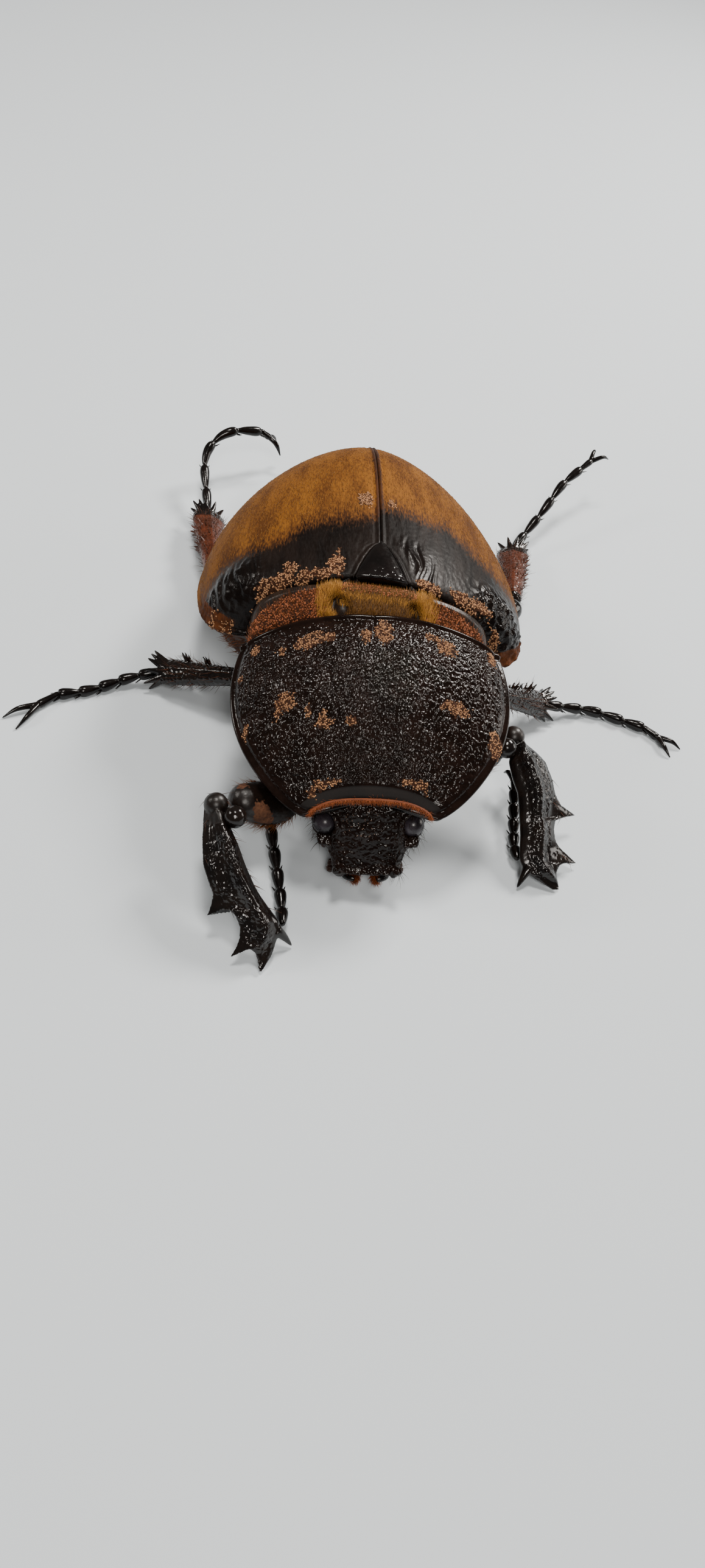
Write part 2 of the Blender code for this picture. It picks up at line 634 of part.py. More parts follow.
# Where each leg bends and ends, over the floor. Outward is the side of the outer spines.
# A bow moves the middle of the thigh. A fore thigh ends in a lobe, and its knob turns in the
# shin beside the seat.
LEGS = {
    "fore_right": {
        "hip": (-5.6, -19.6, 5.0), "knee": (-14.6, -29.9, 10.2), "bow": (-0.2, 1.3, -1.2),
        "knob": (-14.8, -29.77, 10.2), "lobe": (-15.2, -26.9, 9.8),
        "seat": (-17.1, -27.9, 9.8), "blade": BLADE_RIGHT, "tip": (-10.2, -44.2, 0.15),
        "spur": (-6.6, -40.2, 0.5), "spur_row": 12,
        "tarsus": [(-8.0, -38.6, 2.2), (-8.1, -35.5, 1.5), (-8.7, -31.5, 1.7),
                   (-10.0, -24.9, 2.9)],
        "claws": (-10.7, -22.4, 3.6)},
    "fore_left": {
        "hip": (5.6, -18.6, 5.4), "knee": (18.4, -14.0, 10.6), "bow": (0.0, 0.0, -0.6),
        "knob": (18.83, -14.12, 10.7), "lobe": (18.4, -12.6, 9.9),
        "seat": (20.1, -11.6, 10.3), "blade": BLADE_LEFT, "tip": (27.5, -27.9, 0.15),
        "spur": (21.7, -28.4, 0.5), "spur_row": 15,
        "tarsus": [(21.6, -24.9, 1.8), (21.6, -22.4, 1.5), (21.8, -19.0, 1.7),
                   (22.1, -13.9, 2.8)],
        "claws": (22.3, -11.3, 3.3)},
    "mid_right": {
        "hip": (-5.4, -3.2, 4.6), "knee": (-14.6, -3.9, 7.7), "bow": (0.0, 0.0, 0.0),
        "shin": [(-15.6, -3.6, 7.3), (-20.9, -1.5, 4.9), (-26.3, 0.7, 2.5)],
        "outward": (-0.45, 0.9, 0.0),
        "tarsus": [(-27.3, 0.7, 2.2), (-30.6, -0.3, 1.3), (-35.0, -2.6, 0.7),
                   (-39.2, -4.3, 0.75)],
        "claws": (-44.0, -9.7, 0.5)},
    "mid_left": {
        "hip": (5.4, -2.8, 4.6), "knee": (17.7, -2.9, 9.0), "bow": (0.0, 0.0, 0.0),
        "shin": [(18.6, -2.3, 8.4), (23.3, 0.5, 5.5), (28.0, 3.3, 2.5)],
        "outward": (0.45, 0.9, 0.0),
        "tarsus": [(29.1, 3.6, 2.3), (33.0, 4.6, 1.4), (36.9, 4.9, 0.85), (43.9, 2.9, 0.75)],
        "claws": (47.6, -0.8, 0.5)},
    "hind_right": {
        "hip": (-7.4, 8.6, 4.0), "knee": (-20.3, 18.9, 4.4), "bow": (0.0, 0.0, 0.0),
        "shin": [(-20.6, 20.5, 4.4), (-21.8, 29.0, 3.6), (-22.6, 37.4, 2.6)],
        "outward": (-1.0, 0.1, 0.2),
        "tarsus": [(-23.0, 38.9, 2.9), (-24.1, 46.6, 5.4), (-22.9, 50.1, 7.3),
                   (-20.0, 51.9, 8.5), (-15.6, 54.2, 7.7)],
        "claws": (-12.8, 55.0, 4.9)},
    "hind_left": {
        "hip": (7.6, 9.2, 4.0), "knee": (24.3, 20.4, 5.3), "bow": (0.0, 0.0, 0.0),
        "shin": [(24.5, 22.0, 5.2), (25.7, 30.5, 4.0), (26.8, 39.0, 2.6)],
        "outward": (1.0, 0.1, 0.2),
        "tarsus": [(27.4, 40.5, 2.7), (29.8, 43.8, 3.4), (32.6, 47.8, 5.3),
                   (35.6, 52.5, 7.2), (39.0, 56.3, 8.4)],
        "claws": (42.9, 60.5, 9.5)},
}

# Leg sizes by pair: half width and half height of the thigh, half widths of the rest.
THIGH = {"fore": (2.8, 2.3), "mid": (2.5, 2.1), "hind": (3.2, 2.3)}
SHIN_BASE = {"mid": 1.15, "hind": 1.3}
SHIN_MIDDLE = {"mid": 1.5, "hind": 1.8}
SHIN_END = {"mid": 2.0, "hind": 2.6}
KNEE = {"fore": 2.1, "mid": 1.6, "hind": 1.9}
FORE_KNOB_RADIUS = 1.35
HIP = {"fore": (3.3, 2.9, 2.9), "mid": (3.0, 2.6, 2.2), "hind": (4.2, 2.8, 2.1)}
FOOT_BEADS = 5
FOOT_SLIMNESS = 0.84


def coxa(name, pair, leg, surface, grow=0.0):
    """The rounded hip, sunk in the underside of the trunk."""
    radii = [r + grow for r in HIP[pair]]
    return ball(name, Vector(leg["hip"]), radii, stay, surface, rings=6, sides=10)


def femur(name, pair, leg, surface, grow=0.0):
    """The swollen thigh between hip and knee."""
    hip = Vector(leg["hip"])
    knee = Vector(leg["knee"])
    along = (knee - hip).normalized()
    start = hip + along * (HIP[pair][0] - 0.6)
    middle = (start + knee) / 2 + Vector(leg["bow"])
    if pair == "fore":
        route = [start, middle, Vector(leg["lobe"])]
    else:
        route = [start, middle, knee, knee + along * KNEE[pair] * 0.7]
    line = even_points(smooth_route(route, 4), 9)
    line[0] = line[0] - along * grow
    line[-1] = line[-1] + along * grow
    wide, high = THIGH[pair]
    knee_wide = KNEE[pair]
    widths = ((0.0, wide * 0.62), (0.3, wide), (0.6, wide * 0.93), (0.85, knee_wide),
              (1.0, knee_wide * 0.55))
    heights = ((0.0, high * 0.62), (0.3, high), (0.6, high * 0.93), (0.85, knee_wide * 0.95),
               (1.0, knee_wide * 0.5))
    body = limb(name, line, widths, heights, Vector((0.3, 1.0, 0.0)), surface, grow=grow)
    if pair == "fore":
        radii = (FORE_KNOB_RADIUS + grow,) * 3
        fuse(body, [ball("knob", leg["knob"], radii, stay, surface, rings=7, sides=12)])
    return body


def tibia(name, pair, leg, surface):
    """A middle or hind shin with combs of spines and the spurs at its end."""
    shin = [Vector(p) for p in leg["shin"]]
    line = even_points(smooth_route(shin, 4), 9)
    base = SHIN_BASE[pair]
    end = SHIN_END[pair]
    widths = ((0.0, base), (0.45, SHIN_MIDDLE[pair]), (0.88, end), (1.0, end * 0.75))
    heights = ((0.0, base * 0.95), (0.2, base * 1.05), (0.7, base * 1.0), (1.0, base * 0.75))
    outward = Vector(leg["outward"])
    body = limb(name, line, widths, heights, outward, surface)
    return fuse(body, shin_spines(line, outward, surface))


def fore_tibia(name, leg, surface):
    """A fore shin: a toothed plate with a seat for the knee, a tip to stand on and a spur."""
    rows = [(Vector(outer), Vector(inner)) for outer, inner in leg["blade"]]
    last = len(rows) - 1
    along = rows[-1][1] - rows[0][1]
    across = sum((inner - outer for outer, inner in rows), Vector())
    normal = along.cross(across).normalized()
    if normal.z < 0.0:
        normal = -normal
    mesh = bmesh.new()
    loops = []
    for inset, lift in BLADE_LOOPS:
        near = []
        far = []
        for i, (outer, inner) in enumerate(rows):
            raised = normal * between(BLADE_HALF_THICKNESS, i / last) * lift
            near.append(outer.lerp(inner, inset) + raised)
            far.append(inner.lerp(outer, inset) + raised)
        loop = []
        for point in near + far[::-1]:
            point.z = max(point.z, 0.0)
            loop.append(mesh.verts.new(point * MM))
        loops.append(loop)
    count = len(loops[0])
    for low, high in zip(loops, loops[1:]):
        for i in range(count):
            j = (i + 1) % count
            mesh.faces.new((low[i], low[j], high[j], high[i]))
    mesh.faces.new(loops[0])
    mesh.faces.new(loops[-1])
    body = body_from_bmesh(name, mesh, surface)
    tip_root = rows[-4][0].lerp(rows[-4][1], 0.4)
    outer, inner = rows[leg["spur_row"]]
    extras = [
        ball("seat", leg["seat"], (BLADE_SEAT_RADIUS,) * 3, stay, surface, rings=7, sides=12),
        thorn("tip", tip_root, Vector(leg["tip"]), 0.8, surface, blunt=0.28),
        thorn("spur", inner.lerp(outer, 0.15), Vector(leg["spur"]), 0.7, surface)]
    return fuse(body, extras)


def shin_spines(line, outward, surface):
    """Combs of spines across the outer edge, a crown of them at the end, one to the floor."""
    made = []
    last = len(line) - 1
    along = (line[-1] - line[0]).normalized()
    outward = (outward - along * outward.dot(along)).normalized()
    up = outward.cross(along)
    if up.z < 0.0:
        up = -up
    for station, reach in ((3, 1.0), (5, 1.4)):
        root = line[station] + outward * 0.4
        for lean in (-0.55, 0.1, 0.7):
            tip = root + (outward + up * lean).normalized() * (1.2 + reach) + along * 1.3
            made.append(thorn("spine", root, tip, 0.5, surface, sides=4))
    for out, lift in ((1.0, 0.5), (1.0, -0.3), (0.35, 1.0), (-0.9, 0.4), (-0.9, -0.5)):
        root = line[last - 1] + (outward * out + up * lift * 0.4) * 0.9
        tip = root + outward * out * 1.8 + up * lift * 1.4 + along * 2.5
        tip.z = max(tip.z, 0.3)
        made.append(thorn("spine", root, tip, 0.62, surface, sides=5))
    heel = line[-1] + along * 1.2
    heel.z = 0.15
    made.append(thorn("heel", line[last - 1], heel, 0.8, surface, blunt=0.35))
    return made


def tarsus(name, leg, surface):
    """Five beads, each wider at its far end than at its root."""
    points = [Vector(p) for p in leg["tarsus"]]
    line = smooth_route(points, 5)
    last = 4 * FOOT_BEADS
    line = even_points(line, last + 1)
    widths = []
    for i in range(last + 1):
        share = i / last * FOOT_BEADS
        phase = share - math.floor(share) if i < last else 1.0
        swell = 0.62 + 0.34 * math.sin(phase * math.pi * 0.86) + 0.08 * phase
        widths.append((i / last, swell * FOOT_SLIMNESS * (1.0 if i else 0.9)))
    return limb(name, line, tuple(widths), tuple(widths), Vector((0.2, 0.1, 1.0)), surface,
                sides=6, floor=0.0)


def even_points(line, count):
    """The same line with its points at even steps."""
    lengths = [0.0]
    for a, b in zip(line, line[1:]):
        lengths.append(lengths[-1] + (b - a).length)
    evened = []
    k = 0
    for i in range(count):
        wanted = lengths[-1] * i / (count - 1)
        while k < len(line) - 2 and lengths[k + 1] < wanted:
            k += 1
        span = lengths[k + 1] - lengths[k]
        evened.append(line[k].lerp(line[k + 1], (wanted - lengths[k]) / span))
    return evened


def claws(name, leg, surface):
    """Two hooked claws that part from the last bead of the foot."""
    points = [Vector(p) for p in leg["tarsus"]]
    end = points[-1]
    ahead = (end - smooth_route(points, 5)[-2]).normalized()
    tip = Vector(leg["claws"])
    along = (tip - end).normalized()
    start = end + ahead * GAP
    across = along.cross(Vector((0.0, 0.0, 1.0))).normalized()
    reach = (tip - end).length
    down = Vector((0.0, 0.0, -1.0))
    neck = start + along * reach * 0.42
    stem = limb(name, [start, start + ahead * 0.4, start + ahead * 0.4 + along * 0.5, neck],
                ((0.0, 0.55), (0.8, 0.75), (1.0, 0.6)), ((0.0, 0.55), (0.8, 0.7), (1.0, 0.6)),
                across, surface, sides=6, floor=0.0)
    hooks = []
    for hand in (-1.0, 1.0):
        root = neck - along * 0.35
        bend = neck + along * reach * 0.32 + across * hand * 0.95 + Vector((0.0, 0.0, 0.25))
        point = neck + along * reach * 0.62 + across * hand * 1.35 + down * 0.9
        point.z = max(point.z, 0.2)
        profile = ((0.0, 0.5), (0.5, 0.4), (1.0, 0.15))
        hooks.append(limb("hook", smooth_route([root, bend, point], 3), profile, profile,
                          across, surface, sides=5, floor=0.0))
    return fuse(stem, hooks)


def on_side(points, side):
    """Places of the left side, or their mirror images for the right."""
    return [Vector((side * x, y, z)) for x, y, z in points]


def antenna(name, side, surface):
    """The elbowed feeler with its club folded under the cheek."""
    points = on_side(ANTENNA_ROUTE, side)
    stem = ((0.0, 0.5), (0.2, 0.42), (0.5, 0.38), (1.0, 0.4))
    stalk = limb(name, smooth_route(points, 3), stem, stem, Vector((1.0, 0.0, 0.2)), surface,
                 sides=6, place=tip_fore)
    club_line = [points[-1] + step for step in on_side(CLUB_STEPS, side)]
    profile = ((0.0, 0.4), (0.5, 0.85), (1.0, 0.45))
    thin = ((0.0, 0.4), (0.5, 0.6), (1.0, 0.35))
    club = limb("club", smooth_route(club_line, 2), profile, thin, Vector((0.0, 0.0, 1.0)),
                surface, sides=6, place=tip_fore)
    return fuse(stalk, [club])


def mandible(name, side, surface):
    """A short jaw that shows past the front edge of the head."""
    line = smooth_route(on_side(MANDIBLE_ROUTE, side), 3)
    profile = ((0.0, 1.0), (0.5, 0.95), (1.0, 0.35))
    thin = ((0.0, 0.75), (0.5, 0.7), (1.0, 0.3))
    return limb(name, line, profile, thin, Vector((1.0, 0.0, 0.0)), surface, place=tip_fore)


def palp(name, side, surface):
    """A jointed feeler of the mouth, below the jaws."""
    line = smooth_route(on_side(PALP_ROUTE, side), 3)
    profile = ((0.0, 0.55), (0.5, 0.4), (0.8, 0.5), (1.0, 0.3))
    return limb(name, line, profile, profile, Vector((1.0, 0.0, 0.0)), surface, sides=6,
                place=tip_fore)


def main():
    clear_scene()
    black = (0.012, 0.010, 0.010)
    finishes = {
        "head": finish("head", black, 0.55),
        "eye": finish("eye", (0.02, 0.018, 0.024), 0.12),
        "antenna": finish("antenna", (0.05, 0.016, 0.008), 0.35),
        "mouth": finish("mouth", (0.03, 0.012, 0.008), 0.35),
        "pronotum": finish("pronotum", black, 0.42),
        "underside": finish("underside", (0.03, 0.014, 0.009), 0.45),
        "hair_collar": finish("hair_collar", (0.36, 0.13, 0.035), 0.9),
        "scutellum": finish("scutellum", black, 0.25),
        "wing_case": finish("wing_case", (0.30, 0.155, 0.028), 0.6),
        "pygidium": finish("pygidium", (0.16, 0.06, 0.02), 0.8),
        "leg": finish("leg", black, 0.22),
        "foot": finish("foot", black, 0.28),
    }
    nodes = {}
    for side, word in ((1.0, "left"), (-1.0, "right")):
        nodes["elytron_" + word] = wing_case("elytron_" + word, side, finishes["wing_case"])
    for word in ("left", "right"):
        notch = scutellum_prism("notch", GAP, NOTCH_BOTTOM_Z, NOTCH_TOP_Z, finishes["scutellum"])
        combine(nodes["elytron_" + word], [notch], "DIFFERENCE")
    nodes["scutellum"] = scutellum_prism("scutellum", 0.0, SCUTELLUM_BOTTOM_Z, SCUTELLUM_TOP_Z,
                                         finishes["scutellum"])
    nodes["pronotum"] = pronotum(finishes["pronotum"])
    nodes["prothorax"] = prothorax(finishes["underside"])
    nodes["mesothorax"] = mesothorax(finishes["hair_collar"])
    under = CASE_WALL + GAP
    chest = [CHEST_START_Y + CHEST_LENGTH * (i / 8) ** 1.8 for i in range(9)]
    nodes["metathorax"] = hind_section("metathorax", chest, under, finishes["underside"],
                                       chest_belly)
    sternites = []
    for i in range(STERNITE_COUNT):
        start = STERNITE_START_Y + STERNITE_LENGTH * i
        sternites += [start, start + STERNITE_LENGTH - STERNITE_GAP]
    nodes["abdomen"] = hind_section("abdomen", sternites[:-1], under, finishes["underside"],
                                    abdomen_belly, tail=ABDOMEN_TAIL)
    nodes["pygidium"] = pygidium(finishes["pygidium"])
    nodes["head"] = head_body("head", 0.0, finishes["head"])
    for side, word in ((1.0, "left"), (-1.0, "right")):
        eye_centre = on_side([EYE_CENTRE], side)[0]
        socket = ball("socket", eye_centre, (EYE_RADIUS + GAP,) * 3, tip_fore, finishes["eye"])
        combine(nodes["head"], [socket], "DIFFERENCE")
        nodes["eye_" + word] = ball("eye_" + word, eye_centre, (EYE_RADIUS,) * 3, tip_fore,
                                    finishes["eye"], rings=8, sides=14)
        nodes["antenna_" + word] = antenna("antenna_" + word, side, finishes["antenna"])
        nodes["mandible_" + word] = mandible("mandible_" + word, side, finishes["mouth"])
        nodes["palp_" + word] = palp("palp_" + word, side, finishes["mouth"])
    teeth = []
    for side in (1.0, -1.0):
        root, tip = on_side([HEAD_TOOTH_ROOT, HEAD_TOOTH_TIP], side)
        teeth.append(thorn("tooth", root, tip, 0.6, finishes["head"], place=tip_fore))
    fuse(nodes["head"], teeth)
    clear_of_head = head_body("clearance", GAP, finishes["head"])
    combine(nodes["prothorax"], [clear_of_head], "DIFFERENCE")
    for leg_name, leg in LEGS.items():
        pair = leg_name.split("_")[0]
        nodes["coxa_" + leg_name] = coxa("coxa_" + leg_name, pair, leg, finishes["leg"])
        nodes["femur_" + leg_name] = femur("femur_" + leg_name, pair, leg, finishes["leg"])
        if pair == "fore":
            shin = fore_tibia("tibia_" + leg_name, leg, finishes["leg"])
        else:
            shin = tibia("tibia_" + leg_name, pair, leg, finishes["leg"])
        nodes["tibia_" + leg_name] = shin
        nodes["tarsus_" + leg_name] = tarsus("tarsus_" + leg_name, leg, finishes["foot"])
        nodes["claws_" + leg_name] = claws("claws_" + leg_name, leg, finishes["foot"])
        hip_room = coxa("hip_room", pair, leg, finishes["leg"], grow=GAP)
        combine(nodes["femur_" + leg_name], [hip_room], "DIFFERENCE")
        knee_room = femur("knee_room", pair, leg, finishes["leg"], grow=GAP)
        combine(nodes["tibia_" + leg_name], [knee_room], "DIFFERENCE")
    carved = {"prothorax": ("fore",), "mesothorax": ("mid",), "metathorax": ("mid", "hind"),
              "abdomen": ("hind",)}
    for body_name, pairs in carved.items():
        rooms = []
        for leg_name, leg in LEGS.items():
            pair = leg_name.split("_")[0]
            if pair in pairs:
                rooms.append(coxa("hip_room", pair, leg, finishes["leg"], grow=GAP))
                rooms.append(femur("thigh_room", pair, leg, finishes["leg"], grow=GAP))
        for room in rooms:
            combine(nodes[body_name], [room], "DIFFERENCE")
    whole = bpy.data.objects.new("beetle", None)
    bpy.context.scene.collection.objects.link(whole)
    whole.location = (-CENTRE_X * MM, -CENTRE_Y * MM, 0.0)
    for node in nodes.values():
        node.parent = whole
        node.data.shade_smooth()


main()
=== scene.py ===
import math

import bmesh
import bpy
import numpy as np
from mathutils import Matrix, Vector, noise


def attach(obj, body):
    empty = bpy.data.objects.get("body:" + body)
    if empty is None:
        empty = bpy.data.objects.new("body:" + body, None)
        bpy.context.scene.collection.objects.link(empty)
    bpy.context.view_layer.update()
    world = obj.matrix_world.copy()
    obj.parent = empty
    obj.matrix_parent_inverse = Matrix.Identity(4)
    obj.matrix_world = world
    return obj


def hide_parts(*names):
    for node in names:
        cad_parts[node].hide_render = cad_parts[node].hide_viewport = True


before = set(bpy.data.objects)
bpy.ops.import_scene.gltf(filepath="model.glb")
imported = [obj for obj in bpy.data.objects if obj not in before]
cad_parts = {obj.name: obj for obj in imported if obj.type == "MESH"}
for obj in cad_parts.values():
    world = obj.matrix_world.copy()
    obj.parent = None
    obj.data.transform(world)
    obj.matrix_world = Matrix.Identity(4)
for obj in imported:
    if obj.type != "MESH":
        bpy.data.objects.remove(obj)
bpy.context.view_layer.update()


# Hind body. Chest plate and abdomen are dark brown shell under the wing cases, the abdomen
# in rings that overlap like a telescope. The belly is keeled and carries reddish hair.
# Sizes are in millimetres on a level trunk; on_trunk tips them into place in metres.
MM = 0.001
BEETLE_MIDDLE = np.array((1.75, 8.82, 0.0))
TRUNK_PITCH = math.radians(3.72)
PITCH_PIVOT_Y = -44.0
CASES_HALF_WIDTH = 22.24
CASES_BASE_Y = -3.87
CASES_END_Y = 40.63
CASES_WIDEST_Y = 8.7
CASES_TOP_Y = 13.65
CASES_TOP_Z = 29.4
CASES_BASE_Z = 28.04
CASES_EDGE_Z = (16.35, 6.3)
BASE_NARROWING = 0.10
SHOULDER_POWER = 9
OUTLINE_POWERS = (2.06, 0.485)
PROFILE_POWERS = (2.51, 0.398)
SECTION_POWER = 1.76
CASE_WALL = 1.0
SHELL_GAP = 0.35


def standing(points):
    """Places that are already over the floor, in metres under the beetle's middle."""
    return (np.asarray(points, float) - BEETLE_MIDDLE) * MM


def on_trunk(points):
    """Places on the level trunk, tipped tail down about a point under the fore feet."""
    points = np.asarray(points, float)
    along = points[..., 1] - PITCH_PIVOT_Y
    y = along * math.cos(TRUNK_PITCH) + points[..., 2] * math.sin(TRUNK_PITCH)
    z = points[..., 2] * math.cos(TRUNK_PITCH) - along * math.sin(TRUNK_PITCH)
    return standing(np.stack([points[..., 0], y + PITCH_PIVOT_Y, z], -1))


def ease(low, high, value):
    share = np.clip((value - low) / (high - low), 0.0, 1.0)
    return share * share * (3.0 - 2.0 * share)


def hump(value, middle, reach):
    return np.exp(-((value - middle) / reach) ** 2)


def case_half_width(y, inset=0.0):
    """Half the width of both wing cases at a station y."""
    fall, rounding = OUTLINE_POWERS
    rear = np.clip((y - CASES_WIDEST_Y) / (CASES_END_Y - inset - CASES_WIDEST_Y), 0.0, 1.0)
    front = np.clip((CASES_WIDEST_Y - y) / (CASES_WIDEST_Y - CASES_BASE_Y), 0.0, 1.0)
    shoulder = np.clip((CASES_WIDEST_Y - y) / (CASES_WIDEST_Y - CASES_BASE_Y + 0.3), 0.0, 1.0)
    ahead = (1.0 - BASE_NARROWING * front ** 2) * (1.0 - shoulder ** SHOULDER_POWER) ** 0.25
    outline = np.where(y > CASES_WIDEST_Y, (1.0 - rear ** fall) ** rounding, ahead)
    return (CASES_HALF_WIDTH - inset) * outline


def case_edge_z(y):
    return np.interp(y, (CASES_BASE_Y, CASES_END_Y), CASES_EDGE_Z)


def case_crest_z(y, inset=0.0):
    """Height of the seam between the wing cases at a station y."""
    fall, rounding = PROFILE_POWERS
    edge = case_edge_z(y)
    rear = np.clip((y - CASES_TOP_Y) / (CASES_END_Y - inset - CASES_TOP_Y), 0.0, 1.0)
    front = np.clip((CASES_TOP_Y - y) / (CASES_TOP_Y - CASES_BASE_Y), 0.0, 1.0)
    falling = edge + (CASES_TOP_Z - inset - edge) * (1.0 - rear ** fall) ** rounding
    rising = CASES_TOP_Z - inset + (CASES_BASE_Z - CASES_TOP_Z) * front ** 2
    return np.where(y > CASES_TOP_Y, falling, rising)


def case_section_z(y, share, inset=0.0):
    """Height over the trunk at a share of the half width, 0 at the seam to 1 at the side."""
    edge = case_edge_z(y)
    dome = np.clip(1.0 - np.abs(share) ** SECTION_POWER, 0.0, 1.0) ** 0.5
    return edge + (case_crest_z(y, inset) - edge) * dome


def outward(rings):
    """Unit normals of a closed loft of rings, away from the rings' middles."""
    around = np.roll(rings, -1, 1) - np.roll(rings, 1, 1)
    along = np.gradient(rings, axis=0)
    normal = np.cross(around, along)
    normal /= np.maximum(np.linalg.norm(normal, axis=-1, keepdims=True), 1e-9)
    away = rings - rings.mean(1, keepdims=True)
    flip = np.sign((normal * away).sum(-1).mean())
    return normal * flip


def swollen(rings, rise):
    """Rings pushed out along their normals by a measure at each point."""
    return rings + outward(rings) * rise[..., None]


def full_turn(count):
    return np.linspace(0.0, 2 * math.pi, count, endpoint=False)


def sample(measure, points):
    """A noise measured at each of many places."""
    flat = np.asarray(points, float).reshape(-1, 3).tolist()
    return np.array([measure(p) for p in flat]).reshape(np.asarray(points).shape[:-1])


def cobbles(point):
    """Rounded grains that fill the surface, with creases between them."""
    near, second = noise.voronoi(point)[0][:2]
    return min((second - near) * 2.4, 1.0) ** 0.6


def beads(point):
    """Round grains of uneven height that stand close together."""
    near = noise.voronoi(point)[0][0]
    tall = 0.75 + 0.6 * noise.noise(point)
    return tall * math.sqrt(max(1.0 - (near / 0.62) ** 2, 0.0))


def pits(point):
    """Small round pits at irregular places."""
    near = noise.voronoi(point)[0][0]
    return max(1.0 - near * 3.2, 0.0)


def loft(rings):
    """Points and faces of a closed body through rings, each end closed by a fan."""
    rows, count = rings.shape[:2]
    points = rings.reshape(-1, 3)
    near = np.arange(rows * count).reshape(rows, count)
    a, b = near[:-1], near[1:]
    quads = np.stack([a, np.roll(a, -1, 1), np.roll(b, -1, 1), b], -1).reshape(-1, 4)
    faces = quads.tolist()
    hubs = [rings[0].mean(0), rings[-1].mean(0)]
    for k, ring in enumerate((near[0], near[-1])):
        hub = rows * count + k
        faces += [(int(p), int(q), hub) for p, q in zip(ring, np.roll(ring, -1))]
    return np.vstack([points, hubs]), faces


def skin_mesh(name, points, faces):
    """A smooth mesh with its faces turned outwards."""
    mesh = bpy.data.meshes.new(name)
    mesh.from_pydata(points.tolist(), [], faces)
    body = bmesh.new()
    body.from_mesh(mesh)
    bmesh.ops.recalc_face_normals(body, faces=body.faces[:])
    if body.calc_volume(signed=True) < 0.0:
        bmesh.ops.reverse_faces(body, faces=body.faces[:])
    body.to_mesh(mesh)
    body.free()
    mesh.shade_smooth()
    return mesh


def lofted(name, rings):
    return skin_mesh(name, *loft(rings))


def with_hubs(values):
    """A measure on a loft's rings, with one more value for each end hub."""
    return np.concatenate([values.ravel(), [0.0, 0.0]])


def with_lining(values, columns):
    """A measure on the outside of a shell, and nothing on the columns of its lining."""
    return np.concatenate([values, np.zeros((len(values), columns))], axis=1)


def paint(mesh, name, values, kind="FLOAT"):
    """A measured value at each point of a mesh, for its finish or its coat."""
    layer = mesh.attributes.new(name, kind, "POINT")
    field = "vector" if kind == "FLOAT_VECTOR" else "value"
    layer.data.foreach_set(field, np.ascontiguousarray(values, dtype=np.float32).ravel())


def paint_rings(mesh, **layers):
    """Measures on a loft's rings, painted on its skin."""
    for name, values in layers.items():
        paint(mesh, name, with_hubs(values))


def place_piece(name, mesh, finish, slot, *stands_for):
    """A finished piece on the beetle, which takes the place of its plain solids."""
    mesh.materials.clear()
    mesh.materials.append(finish)
    made = bpy.data.objects.new(name, mesh)
    bpy.context.scene.collection.objects.link(made)
    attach(made, "root")
    if stands_for:
        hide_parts(*stands_for)
    return made


def wire(tree, kind, inputs=None, **settings):
    """A node of a tree with its settings, each input either wired or set."""
    made = tree.nodes.new(kind)
    for name, value in settings.items():
        setattr(made, name, value)
    for key, value in (inputs or {}).items():
        if isinstance(value, bpy.types.NodeSocket):
            tree.links.new(value, made.inputs[key])
        else:
            made.inputs[key].default_value = value
    return made


def node(tree, kind, inputs=None, **settings):
    """The first output of a new node."""
    return wire(tree, kind, inputs, **settings).outputs[0]


def blend_colour(tree, share, low, high):
    low = (*low, 1.0) if isinstance(low, tuple) else low
    high = (*high, 1.0) if isinstance(high, tuple) else high
    mixed = wire(tree, "ShaderNodeMix", {0: share, 6: low, 7: high}, data_type="RGBA")
    return mixed.outputs[2]


def blend_value(tree, share, low, high):
    return node(tree, "ShaderNodeMix", {0: share, 2: low, 3: high}, data_type="FLOAT")


def between(tree, value, low, high):
    """0 below low, 1 above high, a soft step between."""
    return node(tree, "ShaderNodeMapRange", {"Value": value, "From Min": low, "From Max": high},
                interpolation_type="SMOOTHSTEP")


def reckon(tree, operation, *values):
    return node(tree, "ShaderNodeMath", dict(enumerate(values)), operation=operation)


def fog(tree, place, scale, detail, **more):
    """Cloudy noise at a place in a tree."""
    given = {"Vector": place, "Scale": scale, "Detail": detail, **more}
    return wire(tree, "ShaderNodeTexNoise", given)


def measured(tree, name):
    """The value painted on a mesh under a name."""
    return wire(tree, "ShaderNodeAttribute", attribute_name=name).outputs["Fac"]


def new_finish(name):
    """A finish with its tree, its surface and the place in millimetres."""
    finish = bpy.data.materials.new(name)
    finish.use_nodes = True
    tree = finish.node_tree
    place = wire(tree, "ShaderNodeTexCoord").outputs["Object"]
    place = node(tree, "ShaderNodeMapping", {"Vector": place, "Scale": (1 / MM,) * 3})
    return finish, tree, tree.nodes["Principled BSDF"], place


